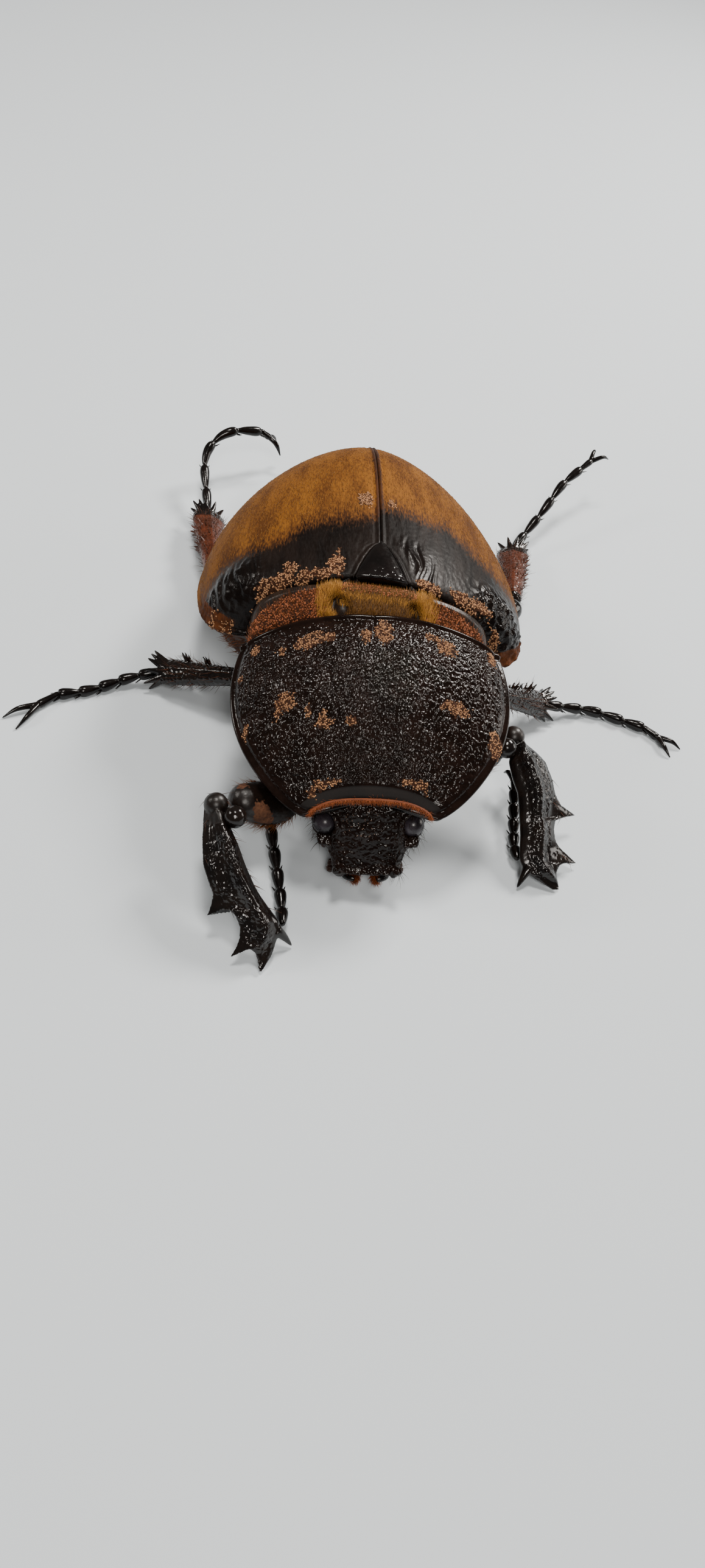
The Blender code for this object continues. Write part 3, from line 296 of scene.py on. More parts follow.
def cuticle(name, dark, light, rough, grain=0.35, relief=0.03, pebble=None, coats=(),
            stretch=(1, 1, 1), shine=0.5):
    """Horny shell: two tones, uneven gloss, fine grain, and patches that cover it.

    Pebble is the size and height of close-set grains and the attribute that says where
    they stand. Each coat is an attribute's name, its dark and light colour, its roughness,
    how ragged its edge is and how soft.
    """
    finish, tree, surface, place = new_finish(name)
    surface.inputs["Specular IOR Level"].default_value = shine
    surface.inputs["IOR"].default_value = 1.45
    combed = node(tree, "ShaderNodeMapping", {"Vector": place, "Scale": stretch})
    broad = fog(tree, combed, 0.45, 5.0).outputs[0]
    fine = fog(tree, combed, 1.0 / grain, 4.0, Roughness=0.6).outputs[0]
    colour = blend_colour(tree, between(tree, broad, 0.35, 0.7), dark, light)
    gloss = node(tree, "ShaderNodeMapRange", {"Value": fine, "From Min": 0.3, "From Max": 0.7,
                                              "To Min": rough * 0.7, "To Max": rough * 1.5})
    tone = between(tree, reckon(tree, "ADD", broad, fine), 0.72, 1.28)
    for attribute, near, far, dull, ragged, soft in coats:
        worn = reckon(tree, "MULTIPLY_ADD", fine, ragged, -ragged / 2)
        edge = reckon(tree, "ADD", measured(tree, attribute), worn)
        cover = between(tree, edge, 0.5 - soft, 0.5 + soft)
        colour = blend_colour(tree, cover, colour, blend_colour(tree, tone, near, far))
        gloss = blend_value(tree, cover, gloss, dull)
    bump = node(tree, "ShaderNodeBump", {"Height": fine, "Strength": 1.0,
                                         "Distance": relief * MM})
    if pebble:
        size, rise, where = pebble
        bent = node(tree, "ShaderNodeVectorMath",
                    {0: place, 1: fog(tree, place, 1.1, 2.0).outputs["Color"]}, operation="ADD")
        stones = wire(tree, "ShaderNodeTexVoronoi",
                      {"Vector": bent, "Scale": 1.0 / size, "Smoothness": 0.25},
                      feature="SMOOTH_F1").outputs["Distance"]
        high = reckon(tree, "SUBTRACT", 1.0, stones)
        high = reckon(tree, "MULTIPLY", high, measured(tree, where))
        bump = node(tree, "ShaderNodeBump", {"Height": high, "Strength": 1.0,
                                             "Distance": rise * MM, "Normal": bump})
    tree.links.new(bump, surface.inputs["Normal"])
    tree.links.new(colour, surface.inputs["Base Color"])
    tree.links.new(gloss, surface.inputs["Roughness"])
    return finish


def even_shares(section, count, low=-1.0, high=1.0):
    """Shares across a section whose points lie evenly along it."""
    dense = np.linspace(low, high, 2001)
    line = section(dense)
    steps = np.linalg.norm(np.diff(line, axis=0), axis=1)
    length = np.concatenate([[0.0], np.cumsum(steps)])
    return np.interp(np.linspace(0.0, length[-1], count), length, dense)


CHEST_START_Y, CHEST_END_Y = -3.85, 13.65
CHEST_ROWS = 110
CHEST_FLOOR = 2.6
BELLY_FLOOR = 2.2
KEEL_POWER = 2.2
BELLY_COLUMNS = 190
BACK_COLUMNS = 24
STERNITE_START_Y = 14.0
STERNITE_LENGTH = 4.6
WHOLE_STERNITES = 4
ROWS_PER_STERNITE = 26
LAST_STERNITE_LENGTH = 1.35
STERNITE_STEP = 0.45
TAIL_REACH = 2.7
TAIL_ROWS = 26


def floor_to_trunk(y, height):
    """Level-trunk height of a place that lies a given height over the floor."""
    return height + math.tan(TRUNK_PITCH) * (y - PITCH_PIVOT_Y)


def keeled(shares):
    return 1.0 - np.abs(shares) ** KEEL_POWER


def hind_rings(stations, belly):
    """Sections of the hind body, under the cases above and keeled below."""
    inset = CASE_WALL + SHELL_GAP

    def under(shares):
        return np.stack([22.0 * shares, -14.0 * keeled(shares) ** 0.75], -1)

    low_shares = even_shares(under, BELLY_COLUMNS)[::-1][1:-1]
    top_shares = np.sin(np.linspace(-1.0, 1.0, BACK_COLUMNS) * math.pi / 2)
    width = np.interp(np.abs(low_shares), (0.0, 0.97, 1.0), (0.985, 0.985, 1.0))
    rings = []
    for y in stations:
        half = case_half_width(y, inset)
        edge = case_edge_z(y)
        low = floor_to_trunk(y, belly(y))
        top = np.stack([half * top_shares, np.full(BACK_COLUMNS, y),
                        case_section_z(y, top_shares, inset)], -1)
        bottom = np.stack([half * low_shares * width, np.full(len(low_shares), y),
                           edge - (edge - low) * keeled(low_shares) ** 0.75], -1)
        rings.append(np.vstack([top, bottom]))
    return np.array(rings)


def chest_belly(y):
    return CHEST_FLOOR + (BELLY_FLOOR - CHEST_FLOOR) * ease(-4.0, 14.0, y)


def abdomen_belly(y):
    ring = (y - STERNITE_START_Y) / STERNITE_LENGTH
    step = STERNITE_STEP * (ring - np.floor(ring)) ** 1.6
    return BELLY_FLOOR + 0.1 - step + 1.2 * ease(30.0, 38.0, y)


underside_finish = cuticle("brown underside", (0.010, 0.0045, 0.003), (0.035, 0.013, 0.007), 0.32,
                           grain=0.4, relief=0.05)

chest_rings = hind_rings(np.linspace(CHEST_START_Y, CHEST_END_Y, CHEST_ROWS), chest_belly)
rough_chest = sample(pits, chest_rings * 1.3) * -0.10 + sample(cobbles, chest_rings * 2.1) * 0.05
x, y, z = np.moveaxis(chest_rings, -1, 0)
keel = hump(x, 0.0, 1.4) * ease(-3.0, 2.0, y) * 0.35
groove = -0.25 * hump(x, 0.0, 0.22) * ease(2.0, 6.0, y)
chest_low = z < case_edge_z(y)
chest_growth = (chest_low * ease(0.18, 0.55, np.abs(x) / case_half_width(y))
                * ease(13.5, 9.0, y))
chest_shape = swollen(chest_rings, (rough_chest + keel + groove) * chest_low)
chest_mesh = lofted("chest", on_trunk(chest_shape))
place_piece("chest_plate", chest_mesh, underside_finish, "underside", "metathorax")

ring_edges = [STERNITE_START_Y + STERNITE_LENGTH * (i + np.linspace(0.0, 0.985, ROWS_PER_STERNITE))
              for i in range(WHOLE_STERNITES)]
ring_edges.append(STERNITE_START_Y + STERNITE_LENGTH * WHOLE_STERNITES
                  + np.linspace(0.0, LAST_STERNITE_LENGTH, 12))
abdomen_rings = hind_rings(np.concatenate(ring_edges), abdomen_belly)
tail_start = abdomen_rings[-1]
tail_middle = tail_start.mean(0)
tail = []
for turn in np.linspace(0.0, math.pi / 2, TAIL_ROWS)[1:-1]:
    pushed = np.array((0.0, TAIL_REACH * math.sin(turn), 0.0))
    tail.append(tail_middle + (tail_start - tail_middle) * math.cos(turn) ** 0.7 + pushed)
abdomen_rings = np.concatenate([abdomen_rings, np.array(tail)])
y, z = abdomen_rings[..., 1], abdomen_rings[..., 2]
ring_share = (y - STERNITE_START_Y) / STERNITE_LENGTH
ring_share = ring_share - np.floor(ring_share)
rough_belly = (sample(pits, abdomen_rings * 1.6) * -0.09
               + sample(cobbles, abdomen_rings * 2.4) * 0.03) * ease(0.0, 0.3, ring_share)
rolled_hem = 0.12 * hump(ring_share, 0.93, 0.05)
abdomen_low = z < case_edge_z(y)
belly_growth = abdomen_low * hump(ring_share, 0.80, 0.14) * (y < 33.5)
abdomen_shape = swollen(abdomen_rings, (rough_belly + rolled_hem) * abdomen_low)
abdomen_mesh = lofted("abdomen", on_trunk(abdomen_shape))
place_piece("ringed_abdomen", abdomen_mesh, underside_finish, "underside", "abdomen")

COAT_MEASURES = ("Count per area", "Length", "Thickness", "Stand", "Spread", "Curl")
PATCH_SPREAD = 0.0015


def add_vectors(tree, one, other):
    return node(tree, "ShaderNodeVectorMath", {0: one, 1: other}, operation="ADD")


def scaled(tree, value, size):
    return node(tree, "ShaderNodeVectorMath", {0: value, "Scale": size}, operation="SCALE")


def store(tree, geometry, word, value, kind, domain):
    return node(tree, "GeometryNodeStoreNamedAttribute",
                {"Geometry": geometry, "Name": word, "Value": value}, data_type=kind,
                domain=domain)


def stored(tree, word, kind="FLOAT"):
    found = wire(tree, "GeometryNodeInputNamedAttribute", {"Name": word}, data_type=kind)
    return next(s for s in found.outputs if s.enabled and s.name == "Attribute")


def chance(tree, seed, offset, low, high, kind="FLOAT"):
    """A value drawn at random for each strand."""
    made = tree.nodes.new("FunctionNodeRandomValue")
    made.data_type = kind
    for socket, value in zip([s for s in made.inputs if s.enabled], (low, high)):
        socket.default_value = value
    tree.links.new(reckon(tree, "ADD", seed, float(offset)), made.inputs["Seed"])
    return next(s for s in made.outputs if s.enabled)


def strand_shape(tree, strand, given):
    """One thorn-like hair, curled by its height, or one round grain."""
    if strand == "hair":
        shape = wire(tree, "GeometryNodeMeshCone",
                     {"Vertices": 3, "Side Segments": 3, "Fill Segments": 1, "Radius Top": 0.12,
                      "Radius Bottom": 1.0, "Depth": 1.0}, fill_type="NGON")
    else:
        shape = wire(tree, "GeometryNodeMeshIcoSphere", {"Radius": 1.0, "Subdivisions": 1})
    here = node(tree, "GeometryNodeInputPosition")
    shape = store(tree, shape.outputs["Mesh"], "patch", here, "FLOAT_VECTOR", "POINT")
    height = wire(tree, "ShaderNodeSeparateXYZ", {0: here}).outputs["Z"]
    lean = reckon(tree, "MULTIPLY", reckon(tree, "MULTIPLY", height, height), given["Curl"])
    ratio = reckon(tree, "DIVIDE", given["Length"], given["Thickness"])
    shift = node(tree, "ShaderNodeCombineXYZ", {"X": reckon(tree, "MULTIPLY", lean, ratio)})
    return node(tree, "GeometryNodeSetPosition", {"Geometry": shape, "Offset": shift})


def coat_tree(name, strand):
    """Scatters one small strand or grain over a skin, combed along the skin's lie."""
    tree = bpy.data.node_groups.new(name, "GeometryNodeTree")
    sockets = [("Skin", "INPUT", "Geometry")]
    sockets += [(word, "INPUT", "Float") for word in COAT_MEASURES]
    sockets += [("Seed", "INPUT", "Int"), ("Finish", "INPUT", "Material"),
                ("Coat", "OUTPUT", "Geometry")]
    for word, way, kind in sockets:
        tree.interface.new_socket(word, in_out=way, socket_type="NodeSocket" + kind)
    given = wire(tree, "NodeGroupInput").outputs
    amount = reckon(tree, "MULTIPLY", given["Count per area"], stored(tree, "growth"))
    roots = wire(tree, "GeometryNodeDistributePointsOnFaces",
                 {"Mesh": given["Skin"], "Density": amount, "Seed": given["Seed"]})
    normal = roots.outputs["Normal"]
    flatness = reckon(tree, "SUBTRACT", 1.0, given["Stand"])
    lying = scaled(tree, stored(tree, "lie", "FLOAT_VECTOR"), flatness)
    stray = chance(tree, given["Seed"], 11, (-1, -1, -1), (1, 1, 1), "FLOAT_VECTOR")
    aim = add_vectors(tree, lying, scaled(tree, normal, given["Stand"]))
    aim = add_vectors(tree, aim, scaled(tree, stray, given["Spread"]))
    turn = node(tree, "FunctionNodeAlignRotationToVector", {"Vector": aim}, axis="Z")
    turn = node(tree, "FunctionNodeAlignRotationToVector",
                {"Rotation": turn, "Vector": scaled(tree, normal, -1.0)}, axis="X",
                pivot_axis="Z")
    long = reckon(tree, "MULTIPLY", given["Length"], chance(tree, given["Seed"], 23, 0.6, 1.15))
    long = reckon(tree, "MULTIPLY", long, stored(tree, "reach"))
    size = node(tree, "ShaderNodeCombineXYZ",
                {"X": given["Thickness"], "Y": given["Thickness"], "Z": long})
    placed = node(tree, "GeometryNodeInstanceOnPoints",
                  {"Points": roots.outputs["Points"], "Rotation": turn, "Scale": size,
                   "Instance": strand_shape(tree, strand, given)})
    shade = chance(tree, given["Seed"], 37, 0.0, 1.0)
    placed = store(tree, placed, "shade", shade, "FLOAT", "INSTANCE")
    solid = node(tree, "GeometryNodeRealizeInstances", {"Geometry": placed})
    spot = add_vectors(tree, stored(tree, "unwrap", "FLOAT_VECTOR"),
                       scaled(tree, stored(tree, "patch", "FLOAT_VECTOR"), PATCH_SPREAD))
    solid = store(tree, solid, "OFBake", spot, "FLOAT2", "CORNER")
    solid = node(tree, "GeometryNodeSetMaterial", {"Geometry": solid, "Material": given["Finish"]})
    wire(tree, "NodeGroupOutput", {0: solid})
    return tree


HAIR = coat_tree("combed hair", "hair")
GRAINS = coat_tree("sandy grains", "grain")
LOOSE = {"stand": 0.5, "spread": 0.5, "curl": 0.0}


def mesh_points(mesh, normals=False):
    """Places, or normals, of a mesh's points."""
    found = np.empty(len(mesh.vertices) * 3, dtype=np.float32)
    source = mesh.vertex_normals if normals else mesh.vertices
    source.foreach_get("vector" if normals else "co", found)
    return found.reshape(-1, 3).astype(float)


def ring_unwrap(rows, count):
    """Where each point of a loft lies on its own skin laid flat, end hubs included."""
    u, v = np.meshgrid(np.linspace(0.02, 0.98, rows), np.linspace(0.02, 0.98, count),
                       indexing="ij")
    flat = np.stack([u, v], -1).reshape(-1, 2)
    return np.vstack([flat, [[0.01, 0.5], [0.99, 0.5]]])


def evaluated_mesh(made):
    """The mesh that an object's steps leave, after which the object goes."""
    source = made.data
    bpy.context.view_layer.update()
    seen = made.evaluated_get(bpy.context.evaluated_depsgraph_get())
    finished = bpy.data.meshes.new_from_object(seen)
    bpy.data.objects.remove(made, do_unlink=True)
    bpy.data.meshes.remove(source)
    finished.shade_smooth()
    return finished


def grow_coat(name, mesh, tree, growth, comb, per_mm2, length, thickness, finish, slot="hair",
              stand=0.3, spread=0.25, curl=0.15, seed=1, reach=1.0, unwrap=None):
    """A coat of mesh strands over a copy of a skin, in millimetres.

    Growth is measured on a loft's rings, or at each point when an unwrap comes with it.
    """
    if unwrap is None:
        unwrap = ring_unwrap(*growth.shape)
        growth = with_hubs(growth)
    skin = mesh.copy()
    normal = mesh_points(mesh, normals=True)
    comb = np.broadcast_to(np.asarray(comb, float), normal.shape)
    lie = comb - normal * (comb * normal).sum(1, keepdims=True)
    lie /= np.maximum(np.linalg.norm(lie, axis=1, keepdims=True), 1e-6)
    flat = np.column_stack([unwrap, np.zeros(len(unwrap))])
    paint(skin, "growth", growth)
    paint(skin, "reach", np.broadcast_to(reach, len(normal)))
    paint(skin, "lie", lie, "FLOAT_VECTOR")
    paint(skin, "unwrap", flat, "FLOAT_VECTOR")
    holder = bpy.data.objects.new(name + "_roots", skin)
    bpy.context.scene.collection.objects.link(holder)
    step = holder.modifiers.new("coat", "NODES")
    step.node_group = tree
    measures = (per_mm2 / MM ** 2, length * MM, thickness * MM, stand, spread, curl)
    given = dict(zip(COAT_MEASURES, measures), Seed=seed, Finish=finish)
    for socket in tree.interface.items_tree:
        if socket.in_out == "INPUT" and socket.name in given:
            step[socket.identifier] = given[socket.name]
    coat = evaluated_mesh(holder)
    coat.name = name
    for word in ("growth", "reach", "lie", "unwrap", "patch"):
        if word in coat.attributes:
            coat.attributes.remove(coat.attributes[word])
    return place_piece(name, coat, finish, slot)


def hair_finish(name, root, tip, rough=0.5):
    """Hair whose strands differ in tone."""
    finish, tree, surface, place = new_finish(name)
    mixed = blend_value(tree, 0.45, measured(tree, "shade"), fog(tree, place, 0.8, 3.0).outputs[0])
    tree.links.new(blend_colour(tree, mixed, root, tip), surface.inputs["Base Color"])
    surface.inputs["Roughness"].default_value = rough
    surface.inputs["Specular IOR Level"].default_value = 0.2
    return finish


russet_hair = hair_finish("russet body hair", (0.05, 0.014, 0.004), (0.21, 0.070, 0.020))
grow_coat("chest_hair", chest_mesh, HAIR, chest_growth, (0.0, 1.0, -0.1), 4.2, 1.9, 0.050,
          russet_hair, stand=0.22, spread=0.35, curl=0.2, seed=3)
grow_coat("belly_hair", abdomen_mesh, HAIR, belly_growth, (0.0, 1.0, -0.05), 7.0, 1.3, 0.04,
          russet_hair, stand=0.15, spread=0.25, curl=0.2, seed=5)


# Pygidium. The end plate below the tips of the wing cases is a low convex shield of brown
# shell, densely set with short reddish hair that hangs downwards.
PLATE_HALF_WIDTH = 9.8
PLATE_HALF_HEIGHT = 2.5
PLATE_Y = 38.05
PLATE_Z = 8.9
PLATE_BEND = 0.025
PLATE_SAG = 0.012
PLATE_TURN = full_turn(150)

plate_levels = np.linspace(0.0, 1.0, 34)
plate_push = np.interp(plate_levels, (0, 0.15, 0.45, 0.75, 1.0), (-0.5, -0.5, 0.35, 1.15, 1.5))
plate_size = np.interp(plate_levels, (0, 0.15, 0.3, 0.45, 0.6, 0.75, 0.9, 1.0),
                       (0.55, 0.97, 1.0, 0.99, 0.9, 0.72, 0.48, 0.2))
plate_rings = []
for push, size in zip(plate_push, plate_size):
    x = PLATE_HALF_WIDTH * size * np.cos(PLATE_TURN)
    z = PLATE_HALF_HEIGHT * size * np.sin(PLATE_TURN)
    plate_rings.append(np.stack([x, PLATE_Y + push - PLATE_BEND * x * x,
                                 PLATE_Z + z + PLATE_SAG * x * x * size], -1))
plate_rings = np.array(plate_rings)
plate_rings = swollen(plate_rings, sample(cobbles, plate_rings * 2.0) * 0.06)
plate_mesh = lofted("pygidium", on_trunk(plate_rings))
place_piece("end_plate", plate_mesh, underside_finish, "underside", "pygidium")
plate_bent = plate_rings[..., 1] - PLATE_Y + PLATE_BEND * plate_rings[..., 0] ** 2
grow_coat("end_plate_hair", plate_mesh, HAIR, ease(-0.6, 0.2, plate_bent), (0.0, 0.35, -1.0),
          14.0, 0.9, 0.055, russet_hair, stand=0.3, spread=0.25, curl=0.2, seed=7)


# Collar. The waist between shield and wing cases is a soft neck with a low central plate,
# clothed in silky golden hair, with rough russet grains out to both sides.
COLLAR_HALF_WIDTH = 15.2
COLLAR_FRONT_Y, COLLAR_REAR_Y = -7.35, -4.25
COLLAR_DEPTH = 7.2
COLLAR_ROWS = 26
COLLAR_COLUMNS = 300
PLATE_EDGE_X = 4.4
NOTCH_X, NOTCH_Y = 4.75, -6.55

collar_y = np.linspace(COLLAR_FRONT_Y, COLLAR_REAR_Y, COLLAR_ROWS)
collar_drop = np.interp(collar_y, (-7.35, -6.2, -4.95, -4.25), (2.1, 1.3, 0.7, 0.9))
c, s = np.cos(full_turn(COLLAR_COLUMNS)), np.sin(full_turn(COLLAR_COLUMNS))
collar_rings = []
for y, drop in zip(collar_y, collar_drop):
    crest = 25.9 + 2.0 * (y + 8.0) / 4.0 - drop
    side = crest - COLLAR_DEPTH
    low = floor_to_trunk(y, CHEST_FLOOR + 0.6)
    reach = np.where(s >= 0.0, crest - side, side - low)
    collar_rings.append(np.stack([COLLAR_HALF_WIDTH * np.sign(c) * np.abs(c) ** 0.8,
                                  np.full(COLLAR_COLUMNS, y),
                                  side + reach * np.sign(s) * np.abs(s) ** 0.9], -1))
collar_rings = np.array(collar_rings)
x, y = collar_rings[..., 0], collar_rings[..., 1]
collar_top = ease(-0.2, 0.3, s)[None, :] * np.ones_like(x)
plate_rise = 0.35 * ease(5.6, PLATE_EDGE_X, np.abs(x)) * ease(-7.6, -6.6, y)
notch_lean = 0.45 * (y + 6.5) * np.where(x > 0.0, 1.0, -0.6)
notch_across = (np.abs(x) - NOTCH_X + notch_lean) / np.where(x > 0.0, 0.95, 1.35)
notch = ease(1.15, 0.75, np.hypot(notch_across, y - NOTCH_Y))
collar_rings = swollen(collar_rings, (plate_rise - 0.75 * notch) * collar_top)
collar_finish = cuticle(
    "collar skin", (0.008, 0.0045, 0.003), (0.020, 0.010, 0.005), 0.30, shine=0.3,
    coats=(("rust", (0.012, 0.004, 0.002), (0.060, 0.018, 0.007), 0.75, 0.5, 0.2),
           ("gold", (0.030, 0.010, 0.003), (0.130, 0.050, 0.009), 0.70, 0.9, 0.3),
           ("plate", (0.035, 0.015, 0.004), (0.120, 0.052, 0.012), 0.55, 0.7, 0.3)),
    stretch=(2.0, 0.35, 1.0))
away, y = np.abs(collar_rings[..., 0]), collar_rings[..., 1]
bare = (1.0 - notch) * collar_top
# Painted shadow: along the rear edge, under the wing-case base, the gold and rust are left off. A
# dark strip of bare skin there stands for the shade between collar and cases.
clear_of_painted_shadow = ease(-4.45, -4.8, y + 0.035 * np.maximum(away - 4.0, 0.0) ** 1.5)
uneven = sample(noise.noise, collar_rings * np.array((1.5, 0.4, 0.0)))
on_plate = ease(4.7, 4.2, away) * bare
golden = ease(4.0, 4.6, away) * ease(7.8, 5.9, away + uneven) * bare * clear_of_painted_shadow
rusty = ease(5.6, 7.4, away + uneven) * bare * clear_of_painted_shadow
rear_grains = ease(5.4, 4.6, away) * ease(-5.5, -5.0, y) * collar_top
rim_hair = hump(y, -5.9, 0.25) * ease(5.0, PLATE_EDGE_X, away) * collar_top
silk_reach = np.where(away < 4.8, 0.42, 1.0)
collar_mesh = lofted("collar", on_trunk(collar_rings))
paint_rings(collar_mesh, plate=on_plate, gold=golden, rust=rusty)
place_piece("collar", collar_mesh, collar_finish, "hair", "mesothorax")

golden_hair = hair_finish("golden collar hair", (0.085, 0.028, 0.005), (0.62, 0.300, 0.055), 0.42)
plate_hair = hair_finish("plate down", (0.035, 0.014, 0.004), (0.230, 0.105, 0.022), 0.5)
grain_finish = hair_finish("sandy grains", (0.060, 0.024, 0.011), (0.55, 0.285, 0.140), 0.6)
rust_finish = hair_finish("rusty grains", (0.045, 0.012, 0.006), (0.44, 0.140, 0.055), 0.45)
TO_REAR_AND_UP = (0.0, 1.0, 0.45)
grow_coat("plate_down", collar_mesh, HAIR, on_plate, TO_REAR_AND_UP, 50.0, 0.75, 0.040,
          plate_hair, stand=0.18, spread=0.08, curl=0.10, seed=11)
grow_coat("collar_silk", collar_mesh, HAIR, np.maximum(golden, rim_hair), TO_REAR_AND_UP, 115.0,
          1.2, 0.040, golden_hair, stand=0.22, spread=0.12, curl=0.10, seed=12,
          reach=with_hubs(silk_reach))
grow_coat("collar_grains", collar_mesh, GRAINS, np.clip(rusty + rear_grains, 0, 1),
          TO_REAR_AND_UP, 19.0, 0.16, 0.13, rust_finish, seed=13, **LOOSE)
grow_coat("collar_fringe", collar_mesh, HAIR, rusty, TO_REAR_AND_UP, 14.0, 0.8, 0.045,
          russet_hair, stand=0.35, spread=0.3, curl=0.15, seed=17)


# Wing cases. Two domed shells of horn that meet in a raised seam: black, wrinkled and bare
# at the base, then worn through to a close ochre velvet that covers them to the tips.
# Each is one closed shell with a rolled rim, and they part round the scutellum.
CASE_TIP_SHARE = 0.993
RIM_LIFT_START_Y = 22.0
RIM_LIFT = 5.2
CASE_ROWS = 240
CASE_COLUMNS = 150
CASE_LINING_COLUMNS = 8
SEAM_HALF_GAP = 0.10
SCUTELLUM_HALF = 3.35
SCUTELLUM_BASE_Y = -3.95
SCUTELLUM_APEX_Y = 2.64


def case_rim_share(y, inset=0.0):
    """Share of the half width at which the rim of a case lies."""
    lift = RIM_LIFT * np.clip((y - RIM_LIFT_START_Y) / (CASES_END_Y - RIM_LIFT_START_Y), 0, 1) ** 2
    drop = np.clip(lift / (case_crest_z(y, inset) - case_edge_z(y)), 0.0, 1.0)
    return (1.0 - drop ** 2) ** (1.0 / SECTION_POWER)


def scutellum_side(y):
    """Half the width of the triangle between the wing cases at a station y."""
    share = np.clip((y - SCUTELLUM_BASE_Y) / (SCUTELLUM_APEX_Y - SCUTELLUM_BASE_Y), 0.0, 1.0)
    return SCUTELLUM_HALF * (1.0 - share) ** 0.58


def wrinkles(point):
    """Long folds that run back from the base and break up."""
    x, y, z = point
    bend = noise.noise((x * 0.30, y * 0.30, z * 0.30)) * 1.2
    fold = noise.noise((x * 1.45 + bend, y * 0.17, z * 0.7))
    return 1.0 - abs(fold) * 2.8


def knobs(point):
    """Uneven knobs of different sizes that run together."""
    near = noise.voronoi(point)[0][0]
    return max(1.0 - near * 1.5, 0.0) ** 0.8


def velvet_edge(x):
    """Where the velvet begins behind the bare base, at a place across the back."""
    return np.interp(x, (-22, -20, -17, -12, -9, -4, -0.4, 0.4, 4, 7, 9.5, 12, 15, 18, 22),
                     (2.2, 4.2, 5.4, 5.8, 8.4, 8.4, 9.6, 11.6, 11.2, 11.0, 11.8, 9.6, 7.8, 7.2, 6.2))


SAND_ON_CASES = (
    (-12.6, -2.7, 2.4, 0.9), (-11.2, -1.6, 1.0, 1.1), (-9.4, -2.7, 0.8, 1.0),
    (-7.2, -2.7, 1.5, 0.8), (-5.5, -1.6, 1.1, 1.7), (-5.4, 1.0, 0.4, 0.4),
    (6.2, -2.9, 1.7, 0.7), (11.3, -2.4, 2.3, 0.9), (13.8, -1.9, 1.3, 0.8),
    (-1.9, 11.9, 0.9, 1.6), (1.7, 11.6, 0.45, 0.9), (-20.4, -2.0, 0.9, 0.7),
    (-18.9, -3.1, 1.2, 0.5), (16.6, -3.2, 0.9, 0.5))


def sandy(x, y, patches):
    """How much of each place is covered by the ragged sandy patches."""
    flat = np.stack([x, y, 0.0 * x], -1)
    broad = sample(noise.noise, flat * 1.3 + np.array((0.0, 0.0, 2.0)))
    small = sample(noise.noise, flat * 3.1 + np.array((0.0, 0.0, 9.0)))
    found = np.zeros_like(x)
    for middle_x, middle_y, half_x, half_y in patches:
        away = np.hypot((x - middle_x) / half_x, (y - middle_y) / half_y)
        away = away + (0.55 * broad + 0.55 * small) * (0.5 + 0.5 / max(half_x, half_y))
        found = np.maximum(found, ease(1.12, 0.85, away))
    return found


case_finish = cuticle(
    "velvet wing case", (0.0034, 0.0021, 0.0017), (0.009, 0.0055, 0.0042), 0.40, grain=0.20,
    relief=0.015, pebble=(0.75, 0.12, "knobby"), shine=0.13,
    coats=(("wet", (0.0030, 0.0020, 0.0018), (0.0075, 0.0050, 0.0042), 0.15, 0.5, 0.3),
           ("umber", (0.014, 0.0045, 0.0015), (0.055, 0.017, 0.0035), 0.60, 0.9, 0.30),
           ("band", (0.040, 0.011, 0.003), (0.095, 0.028, 0.007), 0.70, 0.6, 0.15),
           ("velvet", (0.062, 0.020, 0.0028), (0.185, 0.071, 0.0095), 0.75, 1.0, 0.32),
           ("sand", (0.014, 0.006, 0.003), (0.045, 0.016, 0.007), 0.85, 0.8, 0.10)),
    stretch=(1.0, 0.22, 1.0))
velvet_pile = hair_finish("velvet pile", (0.062, 0.020, 0.003), (0.27, 0.116, 0.017), 0.7)


def case_section(y, inset, count, shares=None):
    half = float(case_half_width(y, inset))
    rim = float(case_rim_share(y, inset))
    inner = SEAM_HALF_GAP + float(scutellum_side(y)) * (1.0 if y < SCUTELLUM_APEX_Y else 0.0)

    def line(share):
        x = inner + (half - inner) * share * rim
        return np.stack([x, case_section_z(y, x / half, inset)], -1)

    shares = even_shares(line, count, 0.0, 1.0) if shares is None else shares
    x, z = line(shares).T
    return np.stack([x, np.full(len(x), y), z], -1)


case_reach = (CASES_END_Y - CASES_BASE_Y) * CASE_TIP_SHARE
case_y = CASES_BASE_Y + case_reach * (1.0 - np.cos(np.linspace(0, math.pi, CASE_ROWS))) / 2
lining_reach = (CASES_END_Y - CASE_WALL - CASES_BASE_Y) * CASE_TIP_SHARE
lining_y = CASES_BASE_Y + lining_reach * (case_y - CASES_BASE_Y) / case_reach
upper = np.array([case_section(y, 0.0, CASE_COLUMNS) for y in case_y])
lining_shares = np.sin(np.linspace(math.pi / 2, 0.0, CASE_LINING_COLUMNS))
lining = np.array([case_section(y, CASE_WALL, 0, lining_shares) for y in lining_y])
x, y = upper[..., 0], upper[..., 1]
side_run = np.linalg.norm(np.diff(upper, axis=1), axis=-1)
from_rim = np.zeros_like(x)
from_rim[:, :-1] = np.cumsum(side_run[:, ::-1], axis=1)[:, ::-1]
from_seam = from_rim[:, :1] - from_rim
from_base = y - CASES_BASE_Y

case_ring = np.concatenate([upper, lining], axis=1)
HANDS = {"left": 1.0, "right": -1.0}
CASE_WEAR = {"left": (0.6, 0.25, 0.40, 1.0), "right": (0.25, 0.9, 0.08, 0.55)}

